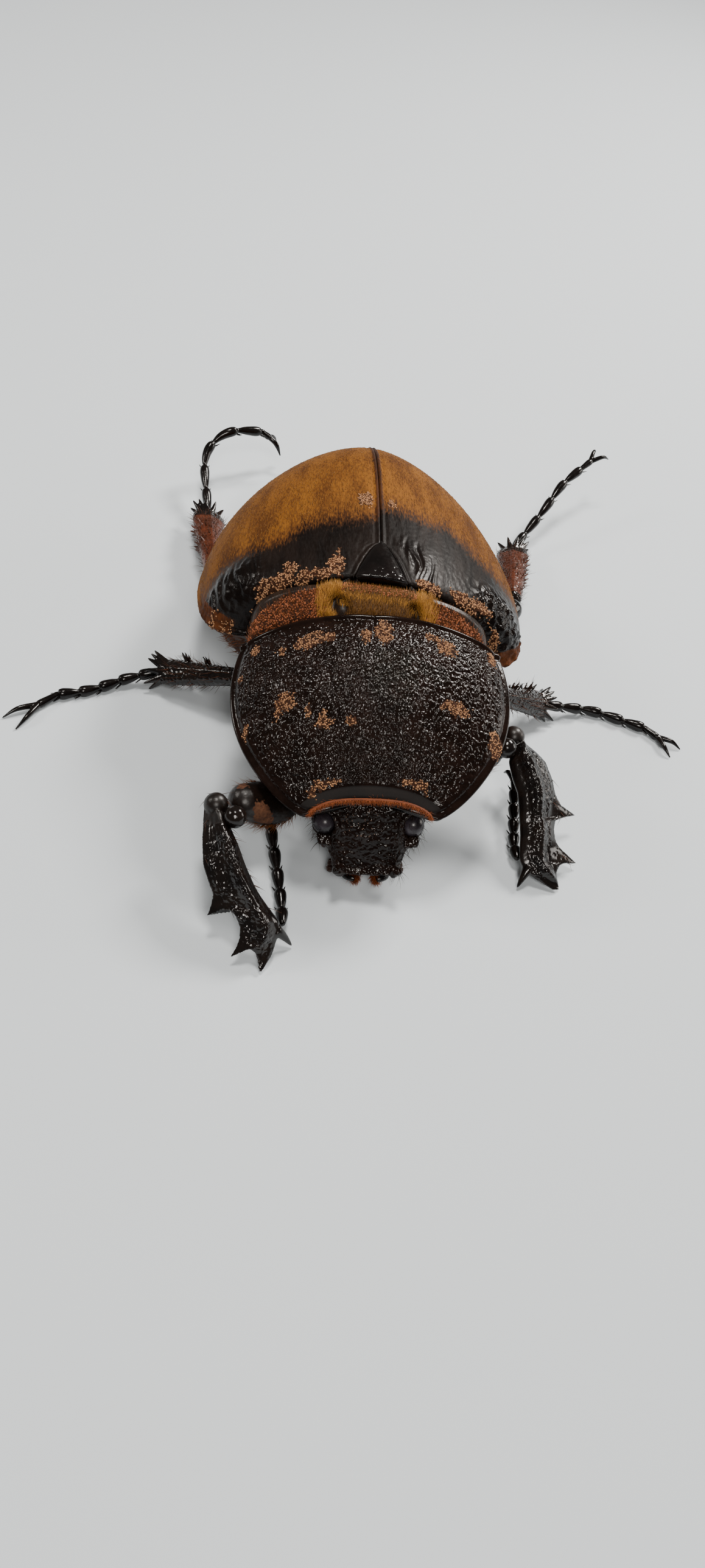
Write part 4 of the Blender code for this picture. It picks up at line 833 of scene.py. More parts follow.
for word, hand in HANDS.items():
    inner_folds, outer_folds, knob_height, wetness = CASE_WEAR[word]
    past_edge = y - velvet_edge(hand * x)
    bare_base = ease(1.5, -3.0, past_edge)
    rise = 0.12 * ease(0.42, 0.16, from_seam) - 0.08 * hump(from_seam, 0.62, 0.16)
    rise += 0.22 * hump(from_rim, 0.35, 0.35) - 0.12 * hump(from_rim, 1.05, 0.3)
    rise -= 0.75 * (1.0 - np.sqrt(1.0 - ease(0.9, 0.0, from_base) ** 2 * 0.98))
    rise += 0.55 * np.exp(-((x - 17.2) / 2.6) ** 2 - ((y - 0.4) / 2.6) ** 2)
    seed_place = upper * np.array((hand, 1.0, 1.0)) + np.array((0.0, 0.0, 40.0 * hand))
    by_scutellum = ease(0.6, 2.2, from_seam) * ease(11.5, 4.5, x) * ease(8.0, 2.5, y)
    at_shoulder = ease(10.5, 15.5, x) * ease(4.5, 0.0, y)
    folded = inner_folds * by_scutellum + outer_folds * at_shoulder
    folds = sample(wrinkles, seed_place)
    rise += 0.17 * folds * np.maximum(folded, 0.12 * bare_base) * ease(0.4, 1.6, from_base)
    knobbly = at_shoulder * knob_height * ease(0.2, 1.0, from_base)
    rise += knobbly * (sample(knobs, seed_place * 0.85) - 0.4)
    rise += 0.35 * knobbly * (sample(beads, seed_place * 1.7) - 0.4)
    rise += 0.03 * (sample(cobbles, seed_place * np.array((2.4, 1.5, 2.0))) - 0.5) * bare_base
    wet = np.clip(np.maximum(folded, at_shoulder), 0.0, 1.0) * wetness
    shape = swollen(case_ring, with_lining(rise, CASE_LINING_COLUMNS))
    shape[..., 0] = np.maximum(shape[..., 0], SEAM_HALF_GAP * 0.5) * hand
    mesh = lofted("case_" + word, on_trunk(shape))
    covered = np.clip(past_edge / 8.5 + 0.5, 0.0, 1.0) * ease(0.22, 0.55, from_seam)
    banded = ease(3.4, 1.8, from_rim) * ease(26.0, 18.0, y) * ease(0.0, 1.5, from_base)
    looks = {"velvet": covered, "umber": np.clip((past_edge + 1.6) / 5.0 + 0.5, 0.0, 1.0),
             "band": banded * 0.9, "sand": sandy(hand * x, y, SAND_ON_CASES), "wet": wet,
             "knobby": at_shoulder * wet}
    looks = {layer: with_lining(values, CASE_LINING_COLUMNS) for layer, values in looks.items()}
    paint_rings(mesh, **looks)
    place_piece("wing_case_" + word, mesh, case_finish, "wing_case", "elytron_" + word)
    pile = ease(0.28, 0.72, covered) * (1.0 - 0.5 * ease(14.0, 30.0, y))
    streaky = sample(noise.noise, seed_place * np.array((1.3, 0.22, 1.0)))
    pile *= ease(-0.35, 0.25, streaky + ease(0.5, 1.0, covered) * 0.8)
    grow_coat("velvet_" + word, mesh, HAIR, with_lining(pile, CASE_LINING_COLUMNS),
              (0.0, 1.0, -0.2), 5.2, 0.55, 0.040, velvet_pile, "wing_case",
              stand=0.10, spread=0.10, curl=0.05, seed=19)
    grow_coat("case_sand_" + word, mesh, GRAINS, looks["sand"], (0.0, 1.0, 0.0), 19.0, 0.13, 0.11,
              grain_finish, seed=23, **LOOSE)


# Scutellum. The small triangle that locks the bases of the wing cases is polished black
# horn, a little domed, with a few pits along its front.
SCUTELLUM_TOP_Z = 28.28
SCUTELLUM_UNDER_Z = 26.9
SCUTELLUM_SLOPE = 0.12
SCUTELLUM_GAP = 0.12
SCUTELLUM_ROWS = 90
SCUTELLUM_COLUMNS = 70

across = np.linspace(-1.0, 1.0, SCUTELLUM_COLUMNS)
below = across[::-1][::10]
scutellum_rings = []
for share in np.linspace(0.0, 1.0, SCUTELLUM_ROWS):
    y = SCUTELLUM_BASE_Y + (SCUTELLUM_APEX_Y - SCUTELLUM_BASE_Y) * share
    rise = SCUTELLUM_SLOPE * (y - SCUTELLUM_BASE_Y)
    half = max(float(scutellum_side(y)) - SCUTELLUM_GAP, 0.03)
    top = SCUTELLUM_TOP_Z + rise + 0.22 * (1.0 - across ** 2) - 0.25 * np.abs(across) ** 8
    upper_row = np.stack([half * across, np.full(len(across), y), top], -1)
    lower_row = np.stack([half * below, np.full(len(below), y),
                          np.full(len(below), SCUTELLUM_UNDER_Z + rise)], -1)
    scutellum_rings.append(np.vstack([upper_row, lower_row]))
scutellum_rings = np.array(scutellum_rings)
dots = sample(pits, scutellum_rings * 2.2) * ease(-1.2, -3.2, scutellum_rings[..., 1])
dots[:, SCUTELLUM_COLUMNS:] = 0.0
scutellum_rings[..., 2] -= 0.12 * dots
polished_black = cuticle("polished black horn", (0.0030, 0.0022, 0.0020), (0.006, 0.0042, 0.0038),
                         0.15, grain=0.5, relief=0.010, shine=0.32)
place_piece("scutellum_plate", lofted("scutellum", on_trunk(scutellum_rings)), polished_black,
            "black_shell", "scutellum")


# Fore body. Under the shield the prothorax is a dark brown box that carries the head and
# the fore legs, rough and hairy below. It rolls a little to one side with the shield.
FORE_ROLL = math.radians(6.3)
ROLL_PIVOT_Z = 20.0
SHIELD_FRONT_Y = -29.6
SHIELD_LENGTH = 21.0
SHIELD_HALF_WIDTH = 17.0
SHIELD_FRONT_HALF_WIDTH = 7.9
SHIELD_WIDEST_SHARE = 0.7
SHIELD_REAR_NARROWING = 1.16
SHIELD_WALL = 1.1
THROAT_FLOOR = 3.4
FORE_ROWS = 90
FORE_COLUMNS = 130


def on_fore_body(points):
    """Places on the level fore body, rolled and then tipped with the trunk."""
    points = np.asarray(points, float)
    x, z = points[..., 0], points[..., 2] - ROLL_PIVOT_Z
    rolled = np.stack([x * math.cos(FORE_ROLL) - z * math.sin(FORE_ROLL), points[..., 1],
                       x * math.sin(FORE_ROLL) + z * math.cos(FORE_ROLL) + ROLL_PIVOT_Z], -1)
    return on_trunk(rolled)


def shield_half_width(share):
    """Half width of the shield, from the front at 0 to the rear at 1."""
    front = np.clip(share, 0.0, SHIELD_WIDEST_SHARE) / SHIELD_WIDEST_SHARE
    rear = np.clip(share - SHIELD_WIDEST_SHARE, 0.0, 1.0) / 0.3
    widening = SHIELD_HALF_WIDTH - SHIELD_FRONT_HALF_WIDTH
    rise = SHIELD_FRONT_HALF_WIDTH + widening * np.sin(math.pi / 2 * front ** 0.75)
    fall = SHIELD_HALF_WIDTH - SHIELD_REAR_NARROWING * rear ** 2
    return np.where(share < SHIELD_WIDEST_SHARE, rise, fall)


def shield_place(share, across, inset=0.0):
    """A place on the shield's dome, or on one that lies inset within it."""
    half = shield_half_width(share) - inset
    edge = 12.3 + 10.5 * share - 5.5 * share ** 2 + 2.9 * share ** 3
    crest = 14.7 + 10.9 * (1.0 - (1.0 - share) ** 1.9) - inset
    behind = ease(0.0, 0.25, share)
    recess = 1.0 - np.abs(across) ** (4.0 - 2.0 * behind)
    y = SHIELD_FRONT_Y + SHIELD_LENGTH * share + (1.4 - 0.8 * share) * recess
    dome = np.clip(1.0 - across ** 2, 0.0, 1.0) ** (0.42 + 0.30 * behind)
    return np.stack(np.broadcast_arrays(half * across, y, edge + (crest - edge) * dome), -1)


fore_rings = []
fore_inset = SHIELD_WALL + SHELL_GAP
fore_across = np.sin(np.linspace(-1.0, 1.0, FORE_COLUMNS) * math.pi / 2)
fore_under = fore_across[::-1][1:-1]
for share in np.linspace(0.20, 0.995, FORE_ROWS):
    top = shield_place(share, fore_across, fore_inset)
    side = shield_place(share, np.array(1.0), fore_inset)
    low = floor_to_trunk(side[1], THROAT_FLOOR) + 2.2 * ease(0.5, 0.2, share)
    below = shield_place(share, fore_under, fore_inset)
    below[:, 0] = side[0] * fore_under * 0.985
    below[:, 2] = side[2] - (side[2] - low) * (1.0 - fore_under ** 2) ** 0.9
    fore_rings.append(np.vstack([top, below]))
fore_rings = np.array(fore_rings)
fore_low = np.zeros(fore_rings.shape[:2])
fore_low[:, FORE_COLUMNS:] = 1.0
fore_rough = sample(cobbles, fore_rings * 1.7) * 0.10 - sample(pits, fore_rings * 1.1) * 0.12
fore_rings = swollen(fore_rings, fore_rough * fore_low)
fore_mesh = lofted("fore_body", on_fore_body(fore_rings))
place_piece("fore_body", fore_mesh, underside_finish, "underside", "prothorax")
fore_growth = fore_low * ease(0.25, 0.6, np.abs(fore_rings[..., 0]) / SHIELD_HALF_WIDTH)
grow_coat("fore_body_hair", fore_mesh, HAIR, fore_growth, (0.0, 0.6, -0.5), 3.8, 1.8, 0.050,
          russet_hair, stand=0.3, spread=0.35, curl=0.2, seed=29)


# Shield. The pronotum is a wide dome of black horn, rough with small shining grains that
# run together into short ridges in the middle, inside a smooth raised rim.
SHIELD_ROWS = 232
SHIELD_COLUMNS = 400
SHIELD_LINING_COLUMNS = 12
SAND_ON_SHIELD = (
    (-6.9, -11.6, 2.3, 0.9), (-8.2, -12.3, 1.2, 0.8), (-0.9, -11.8, 0.7, 1.0),
    (1.2, -10.9, 1.0, 1.9), (7.3, -10.9, 1.0, 0.6), (8.9, -11.8, 1.3, 1.1),
    (-10.3, -19.0, 1.1, 1.0), (-11.2, -20.2, 0.5, 0.6), (-7.6, -20.3, 0.4, 0.7),
    (-5.6, -21.7, 1.1, 0.6), (-5.9, -20.8, 0.4, 0.5), (-2.6, -21.6, 0.6, 0.5),
    (9.9, -19.1, 1.8, 0.8), (-15.0, -20.6, 0.4, 0.8), (-14.2, -11.0, 0.5, 0.8),
    (-10.9, -12.4, 0.6, 0.6), (14.9, -21.2, 0.9, 1.3), (14.9, -10.5, 0.6, 1.3),
    (-6.9, -27.9, 0.45, 0.6), (-6.0, -27.35, 0.9, 0.42), (-4.7, -27.05, 0.9, 0.30),
    (4.4, -26.9, 1.0, 0.28), (5.7, -27.1, 0.8, 0.45), (6.35, -27.6, 0.3, 0.5),
    (-15.9, -14.2, 0.25, 0.5))

middle_shares = even_shares(lambda a: shield_place(0.6, a)[:, ::2], SHIELD_COLUMNS)
lining_across = np.sin(np.linspace(1.0, -1.0, SHIELD_LINING_COLUMNS) * math.pi / 2)
shield_rows = np.linspace(0.0, 1.0, SHIELD_ROWS)
dome = np.array([shield_place(share, middle_shares) for share in shield_rows])
lining = np.array([shield_place(share, lining_across, SHIELD_WALL) for share in shield_rows])
across_run = np.linalg.norm(np.diff(dome, axis=1), axis=-1)
from_left = np.concatenate([np.zeros((SHIELD_ROWS, 1)), np.cumsum(across_run, axis=1)], axis=1)
from_side = np.minimum(from_left, from_left[:, -1:] - from_left)
along_run = np.linalg.norm(np.diff(dome, axis=0), axis=-1)
from_front = np.concatenate([np.zeros((1, SHIELD_COLUMNS)), np.cumsum(along_run, axis=0)])
from_rear = from_front[-1:] - from_front
band = 1.0 - 0.3 * middle_shares ** 2
from_edge = np.minimum(from_side, np.minimum(from_front, from_rear))
x, y, z = np.moveaxis(dome, -1, 0)
slant = 0.55 * np.tanh(x / 3.0)
slanted = np.stack([x - slant * y, y + slant * x, z], -1)
ridges = sample(beads, slanted * np.array((1.3, 2.2, 1.6)) + 7.0)
grains = sample(beads, slanted * 2.0 + 3.0)
middle_share = hump(x, 1.0, 8.5) * hump(y, -17.5, 6.0)
rough_middle = ease(0.9, 2.6, from_side) * ease(0.05, 0.8, from_front - band)
rough_middle *= ease(0.6, 1.1, from_rear)
rise = (0.22 * ridges * middle_share + 0.18 * grains * (1.0 - 0.6 * middle_share)) * rough_middle
rise += 0.24 * hump(from_side, 0.30, 0.32) - 0.12 * hump(from_side, 0.95, 0.28)
rise += 0.20 * hump(from_rear, 0.30, 0.32) - 0.14 * hump(from_rear, 0.85, 0.22)
rise -= 0.05 * hump(from_front - band, 0.0, 0.16)
rise -= 0.14 * hump(x, 0.0, 0.12) * ease(0.72, 0.85, shield_rows)[:, None]
rise -= 0.10 * hump(x, 0.0, 1.2) * ease(0.5, 0.9, shield_rows)[:, None]
shield_shape = swollen(np.concatenate([dome, lining], axis=1),
                       with_lining(rise, SHIELD_LINING_COLUMNS))
shield_mesh = lofted("shield", on_fore_body(shield_shape))
shield_sand = sandy(x, y, SAND_ON_SHIELD)
ragged = sample(noise.noise, dome * np.array((1.1, 1.1, 1.0)))
shield_sand = np.clip(shield_sand * ease(-0.45, 0.0, ragged + shield_sand * 0.4), 0.0, 1.0)
shield_looks = {"sand": shield_sand,
                "granular": ease(0.5, 1.0, from_edge) * ease(0.0, 0.5, from_front - band),
                "smooth": ease(0.35, 0.0, from_front - band) * ease(0.9, 1.4, from_side)}
shield_looks = {layer: with_lining(values, SHIELD_LINING_COLUMNS)
                for layer, values in shield_looks.items()}
paint_rings(shield_mesh, **shield_looks)
granular_black = cuticle(
    "granular black horn", (0.0052, 0.0026, 0.0018), (0.0105, 0.0052, 0.0038), 0.11, grain=0.16,
    relief=0.006, pebble=(0.50, 0.055, "granular"), shine=0.22,
    coats=(("smooth", (0.0030, 0.0016, 0.0012), (0.0060, 0.0034, 0.0026), 0.60, 0.2, 0.2),
           ("sand", (0.014, 0.006, 0.003), (0.045, 0.016, 0.007), 0.85, 0.8, 0.10)))
place_piece("shield", shield_mesh, granular_black, "black_shell", "pronotum")
grow_coat("shield_sand", shield_mesh, GRAINS, shield_looks["sand"], (0.0, 1.0, 0.0), 18.0, 0.12,
          0.095, grain_finish, seed=31, **LOOSE)


# Head. A small bent block of granular black horn, broad at the eyes and narrow at the front
# edge, which is turned up into two blunt teeth. A fringe of orange hair closes the neck.
HEAD_ROWS = 150
HEAD_COLUMNS = 210
HEAD_BACK = np.array((0.0, 0.88, -0.475))
EYE_X, EYE_Y, EYE_Z = 5.25, -28.65, 10.35
EYE_RADIUS = 1.45
HEAD_VOXEL = 0.112
HEAD_HALF_WIDTHS = ((0.0, 5.3), (0.2, 6.35), (0.42, 6.45), (0.62, 5.2), (0.85, 4.25), (1.0, 3.95))
HEAD_DEPTHS = ((0.0, 2.6), (0.2, 5.2), (0.42, 5.7), (0.62, 5.0), (0.85, 3.2), (1.0, 1.5))


def smooth_table(table, shares, soft=0.06):
    """Values between the pairs of a table, with its corners rounded."""
    places, values = zip(*table)
    steps = np.linspace(-soft, soft, 9)
    return np.mean([np.interp(np.clip(shares + s, 0.0, 1.0), places, values) for s in steps],
                   axis=0)


def rounded(shares, start, end):
    """Shrinks a body to a round nose over its first and last shares."""
    nose = 1.0 - np.clip(shares / start, 0.0, 1.0)
    tail = 1.0 - np.clip((1.0 - shares) / end, 0.0, 1.0)
    return np.sqrt(1.0 - nose ** 2) * np.sqrt(1.0 - tail ** 2) + 0.02


head_share = np.linspace(0.0, 1.0, HEAD_ROWS)
head_half = smooth_table(HEAD_HALF_WIDTHS, head_share)
head_depth = smooth_table(HEAD_DEPTHS, head_share)
brow = np.stack([0.0 * head_share, -28.1 - 4.0 * head_share, 13.5 - 8.4 * head_share], -1)
head_middle = brow + HEAD_BACK * (head_depth / 2)[:, None]
c, s = np.cos(full_turn(HEAD_COLUMNS)), np.sin(full_turn(HEAD_COLUMNS))
head_side = head_half[:, None] * (np.sign(c) * np.abs(c) ** 0.75)
head_rise = np.sign(s) * np.abs(s) ** 0.85
head_flat = np.zeros((HEAD_ROWS, HEAD_COLUMNS))
head_rings = head_middle[:, None, :] + np.stack([head_side, head_flat, head_flat], -1)
head_rings = head_rings - HEAD_BACK * (head_depth[:, None] / 2 * head_rise)[..., None]
front_face = ease(-0.15, 0.35, s)[None, :] * np.ones((HEAD_ROWS, 1))
along = head_share[:, None] * np.ones((1, HEAD_COLUMNS))
sideways = head_rings[..., 0]
head_rings = swollen(head_rings, front_face * (
    0.35 * hump(along, 0.42, 0.20) * hump(sideways, 0.4, 2.8)
    + 0.25 * hump(along, 0.985, 0.03) * ease(4.4, 3.6, np.abs(sideways))
    - 0.25 * hump(along, 0.84, 0.10) * hump(sideways, 0.0, 2.2)
    + 0.22 * hump(along, 0.24, 0.22) * hump(np.abs(sideways), 3.9, 0.35)))


def ball_rings(tilts, turns, first_tilt=0.05):
    """Rings of a unit ball from its top to its bottom."""
    tilt = np.linspace(first_tilt, math.pi - first_tilt, tilts)[:, None]
    turn = full_turn(turns)
    return np.stack([np.sin(tilt) * np.cos(turn), np.sin(tilt) * np.sin(turn),
                     np.cos(tilt) * np.ones(turns)], -1)


NO_BOW = (0.0, 0.0, 0.0)


def spike(root, tip, radius, blunt, bow=NO_BOW, flat=1.0, rows=14, sides=14):
    """A tapered thorn from a sunken root to a blunt tip, bowed along its length."""
    root, tip, bow = (np.asarray(p, float) for p in (root, tip, bow))
    shares = np.linspace(0.0, 1.0, rows)
    line = root + (tip - root) * shares[:, None] + bow * (4 * shares * (1 - shares))[:, None]
    axis = (tip - root) / np.linalg.norm(tip - root)
    hint = np.array((0.0, 0.0, 1.0)) if abs(axis[2]) < 0.8 else np.array((1.0, 0.0, 0.0))
    side = np.cross(axis, hint)
    side /= np.linalg.norm(side)
    up = np.cross(side, axis)
    wide = blunt + (radius - blunt) * (1.0 - shares) ** 0.8
    wide *= np.where(shares > 0.97, 0.55, 1.0)
    turn = full_turn(sides)
    return (line[:, None] + side * (wide[:, None] * np.cos(turn))[..., None]
            + up * (wide[:, None] * flat * np.sin(turn))[..., None])


def side_by_side(name, bodies):
    """Closed bodies, as rings in metres, in one skin."""
    points, faces, first = [], [], 0
    for rings in bodies:
        own, sides = loft(rings)
        points.append(own)
        faces += [tuple(k + first for k in face) for face in sides]
        first += len(own)
    return skin_mesh(name, np.vstack(points), faces)


def grown_together(name, bodies, voxel, rounds=2):
    """Closed bodies joined into one skin with soft creases where they meet."""
    body = bpy.data.objects.new(name, side_by_side(name, bodies))
    bpy.context.scene.collection.objects.link(body)
    weld = body.modifiers.new("join", "REMESH")
    weld.mode = "VOXEL"
    weld.voxel_size = voxel * MM
    soften = body.modifiers.new("soften", "SMOOTH")
    soften.factor = 0.5
    soften.iterations = rounds
    joined = evaluated_mesh(body)
    joined.name = name
    return joined


SIDES = (-1.0, 1.0)
NAPE_MIDDLE = np.array((0.0, -27.3, 11.2))
NAPE_RADII = np.array((6.2, 2.0, 2.1))
SEEN_FROM = np.array((0.0, -0.55, 0.83))

head_bodies = [head_rings, NAPE_MIDDLE + NAPE_RADII * ball_rings(40, 80)]
head_bodies += [spike((x * 3.25, -31.6, 5.3), (x * 3.95, -32.55, 6.25), 0.85, 0.22) for x in SIDES]
head_bodies += [spike((x * 4.4, -29.9, 8.5), (x * 6.0, -30.1, 8.8), 0.80, 0.55, flat=0.6)
                for x in SIDES]
head_mesh = grown_together("head", [on_fore_body(r) for r in head_bodies], HEAD_VOXEL)
head_here = mesh_points(head_mesh) / MM
head_turned = mesh_points(head_mesh, normals=True)
seen_side = ease(0.0, 0.5, head_turned @ SEEN_FROM)
grit = 0.20 * (sample(beads, head_here * 1.8) - 0.4) * (0.35 + 0.65 * seen_side)
for x in SIDES:
    eye_middle = on_fore_body((x * EYE_X, EYE_Y, EYE_Z)) / MM
    from_eye = np.linalg.norm(head_here - eye_middle, axis=1)
    grit += 0.45 * hump(from_eye, EYE_RADIUS + 0.25, 0.30)
head_mesh.vertices.foreach_set(
    "co", ((head_here + head_turned * grit[:, None]) * MM).astype(np.float32).ravel())
head_mesh.update()
paint(head_mesh, "granular", seen_side)
place_piece("head", head_mesh, granular_black, "black_shell", "head")

# Pale brown grains over the upper middle of the face: partly dust, and partly painted glints that
# stand in for the small shine on the grains there.
dust_and_painted_glints = 0.16 * seen_side * hump(head_here[:, 0], -1.7, 2.6) * ease(8.0, 10.0, head_here[:, 2])
head_unwrap = np.column_stack([(head_here[:, 0] + 10.0) / 20.0,
                               (head_here[:, 2] - head_here[:, 1]) / 60.0])
side_bristles = ease(3.6, 4.6, np.abs(head_here[:, 0] + 1.75)) * ease(14.0, 11.5, head_here[:, 2])
black_bristle = hair_finish("black bristles", (0.006, 0.004, 0.003), (0.03, 0.014, 0.008), 0.35)
grow_coat("head_bristles", head_mesh, HAIR, side_bristles, (0.0, -0.6, -0.6), 2.2, 1.5, 0.032,
          black_bristle, stand=0.75, spread=0.2, curl=0.25, seed=37, unwrap=head_unwrap)
dust_and_glint_finish = hair_finish("brown dust and painted glints", (0.05, 0.028, 0.020), (0.26, 0.17, 0.13), 0.4)
grow_coat("head_dust_and_glints", head_mesh, GRAINS, dust_and_painted_glints, (0.0, 1.0, 0.0), 14.0, 0.10, 0.075,
          dust_and_glint_finish, seed=38, unwrap=head_unwrap, **LOOSE)

FRINGE_RADIUS = 0.20
turn = full_turn(16)
fringe_section = np.stack([0.0 * turn, FRINGE_RADIUS * np.cos(turn) - 0.25,
                           FRINGE_RADIUS * np.sin(turn)], -1)
fringe_rings = np.array([shield_place(np.array(0.0), np.array(a), 0.45) + fringe_section
                         for a in np.linspace(-0.97, 0.97, 120)])
fringe_mesh = lofted("neck_fringe", on_fore_body(fringe_rings))
fringe_hair = hair_finish("orange neck fringe", (0.08, 0.018, 0.005), (0.33, 0.088, 0.024), 0.5)
place_piece("neck_fringe", fringe_mesh, fringe_hair, "hair")
fringe_growth = ease(0.85, 0.2, np.sin(turn))[None, :] * np.ones(fringe_rings.shape[:2])
grow_coat("neck_fringe_hair", fringe_mesh, HAIR, fringe_growth, (0.0, -0.75, -0.65), 170.0, 0.62,
          0.035, fringe_hair, stand=0.40, spread=0.5, curl=0.2, seed=41)


# Eyes. Round, dark and glossy, with a violet grey bloom and a fine net of facets. Each is
# a ball of clear horn set into the cheek behind its ridge.
eye_finish = cuticle("eye", (0.006, 0.0045, 0.006), (0.034, 0.027, 0.034), 0.26, grain=0.09,
                     relief=0.004, shine=0.40)
for word, x in HANDS.items():
    eye_middle = np.array((x * EYE_X, EYE_Y + 0.25, EYE_Z - 0.15))
    eye_rings = eye_middle + EYE_RADIUS * ball_rings(48, 72, 0.04) * 0.97
    place_piece("eye_" + word, lofted("eye_" + word, on_fore_body(eye_rings)), eye_finish, "eye",
                "eye_" + word)


# Mouthparts and feelers. Black jaws with a brush of orange hair, jointed brown palps, and
# elbowed antennae whose leaved clubs are folded under the cheeks.
def smooth_route(places, steps=14):
    """A smooth line through a few places."""
    places = [np.asarray(p, float) for p in places]
    ends = [2 * places[0] - places[1]] + places + [2 * places[-1] - places[-2]]
    line = []
    for a, b, c, d in zip(ends, ends[1:], ends[2:], ends[3:]):
        for t in np.arange(steps) / steps:
            line.append(0.5 * (2 * b + (c - a) * t + (2 * a - 5 * b + 4 * c - d) * t ** 2
                               + (3 * b - a - 3 * c + d) * t ** 3))
    return np.array(line + [places[-1]])


def even_line(line, count):
    """The same line with its points at even steps."""
    run = np.concatenate([[0.0], np.cumsum(np.linalg.norm(np.diff(line, axis=0), axis=1))])
    at = np.linspace(0.0, run[-1], count)
    return np.stack([np.interp(at, run, line[:, k]) for k in range(3)], -1)


def limb_rings(route, widths, heights, hint, sides, rows, nose, tail, soft=0.06):
    """Oval sections along a route, whose width lies along the hint."""
    line = even_line(route, rows)
    ahead = np.gradient(line, axis=0)
    ahead /= np.linalg.norm(ahead, axis=1, keepdims=True)
    hint = np.asarray(hint, float)
    side = hint - ahead * (ahead @ hint)[:, None]
    side /= np.linalg.norm(side, axis=1, keepdims=True)
    up = np.cross(side, ahead)
    shares = np.linspace(0.0, 1.0, rows)
    ends = rounded(shares, nose, tail)
    wide = smooth_table(widths, shares, soft) * ends
    high = smooth_table(heights, shares, soft) * ends
    turn = full_turn(sides)
    return (line[:, None] + side[:, None] * (wide[:, None] * np.cos(turn))[..., None]
            + up[:, None] * (high[:, None] * np.sin(turn))[..., None])


brown_horn = cuticle("dark brown horn", (0.012, 0.005, 0.003), (0.045, 0.014, 0.006), 0.25,
                     grain=0.3, relief=0.02)
PALP_TABLE = ((0.0, 0.5), (0.22, 0.55), (0.3, 0.3), (0.38, 0.5), (0.58, 0.45), (0.64, 0.3),
              (0.72, 0.5), (1.0, 0.3))
STALK_BEADS = 16
STALK_TABLE = [(0.0, 0.5)] + [(k / STALK_BEADS, 0.44 if k % 2 else 0.33)
                              for k in range(1, STALK_BEADS)] + [(1.0, 0.4)]
JAW_ROWS, JAW_SIDES = 50, 40
LEAVES = (-0.42, 0.0, 0.42)
FEELER_VOXEL = 0.08


def mirrored(places, x):
    """Places on the left, or the same on the right."""
    return [np.array((x * a, b, c)) for a, b, c in places]


for word, x in HANDS.items():
    route = smooth_route(mirrored([(2.0, -29.2, 3.6), (1.95, -30.5, 3.4), (1.25, -31.75, 3.75)], x))
    jaw = limb_rings(route, ((0.0, 1.0), (0.5, 0.98), (0.8, 0.75), (1.0, 0.3)),
                     ((0.0, 0.75), (0.5, 0.7), (1.0, 0.28)), (1, 0, 0), JAW_SIDES, JAW_ROWS,
                     0.1, 0.15)
    jaw_mesh = lofted("jaw_" + word, on_fore_body(jaw))
    place_piece("jaw_" + word, jaw_mesh, polished_black, "mouth", "mandible_" + word)
    facing_in = ease(-0.2, 0.4, -np.cos(np.linspace(0, 2 * math.pi, JAW_SIDES)) * x)
    jaw_brush = ease(0.35, 0.6, np.linspace(0, 1, JAW_ROWS))[:, None] * facing_in[None, :]
    grow_coat("jaw_brush_" + word, jaw_mesh, HAIR, jaw_brush, (0.0, -1.0, 0.1), 110.0, 1.0, 0.04,
              fringe_hair, stand=0.35, spread=0.25, curl=0.1, seed=43)
    route = smooth_route(mirrored([(3.6, -28.3, 4.3), (4.2, -29.0, 3.4), (4.3, -29.8, 2.7)], x))
    palp = limb_rings(route, PALP_TABLE, PALP_TABLE, (1, 0, 0), 24, 70, 0.1, 0.1, 0.02)
    place_piece("palp_" + word, lofted("palp_" + word, on_fore_body(palp)), brown_horn, "mouth",
                "palp_" + word)
    bends = mirrored([(4.3, -26.9, 4.9), (5.1, -26.6, 4.3), (4.9, -25.7, 3.9), (4.0, -25.2, 3.8)],
                     x)
    parts = [limb_rings(smooth_route(bends), STALK_TABLE, STALK_TABLE, (1, 0, 0.2), 24, 100,
                        0.06, 0.03, 0.015)]
    for leaf in LEAVES:
        club = smooth_route([bends[-1], bends[-1] + np.array((-x * 1.2, -0.3, leaf - 0.1)),
                             bends[-1] + np.array((-x * 2.4, -1.0, leaf * 0.8 - 0.2))])
        parts.append(limb_rings(club, ((0.0, 0.3), (0.5, 0.8), (1.0, 0.42)),
                                ((0.0, 0.2), (0.5, 0.24), (1.0, 0.18)), (0.3, 1, 0.0), 24, 30,
                                0.1, 0.25))
    feeler = grown_together("antenna_" + word, [on_fore_body(r) for r in parts], FEELER_VOXEL)
    place_piece("antenna_" + word, feeler, brown_horn, "mouth", "antenna_" + word)
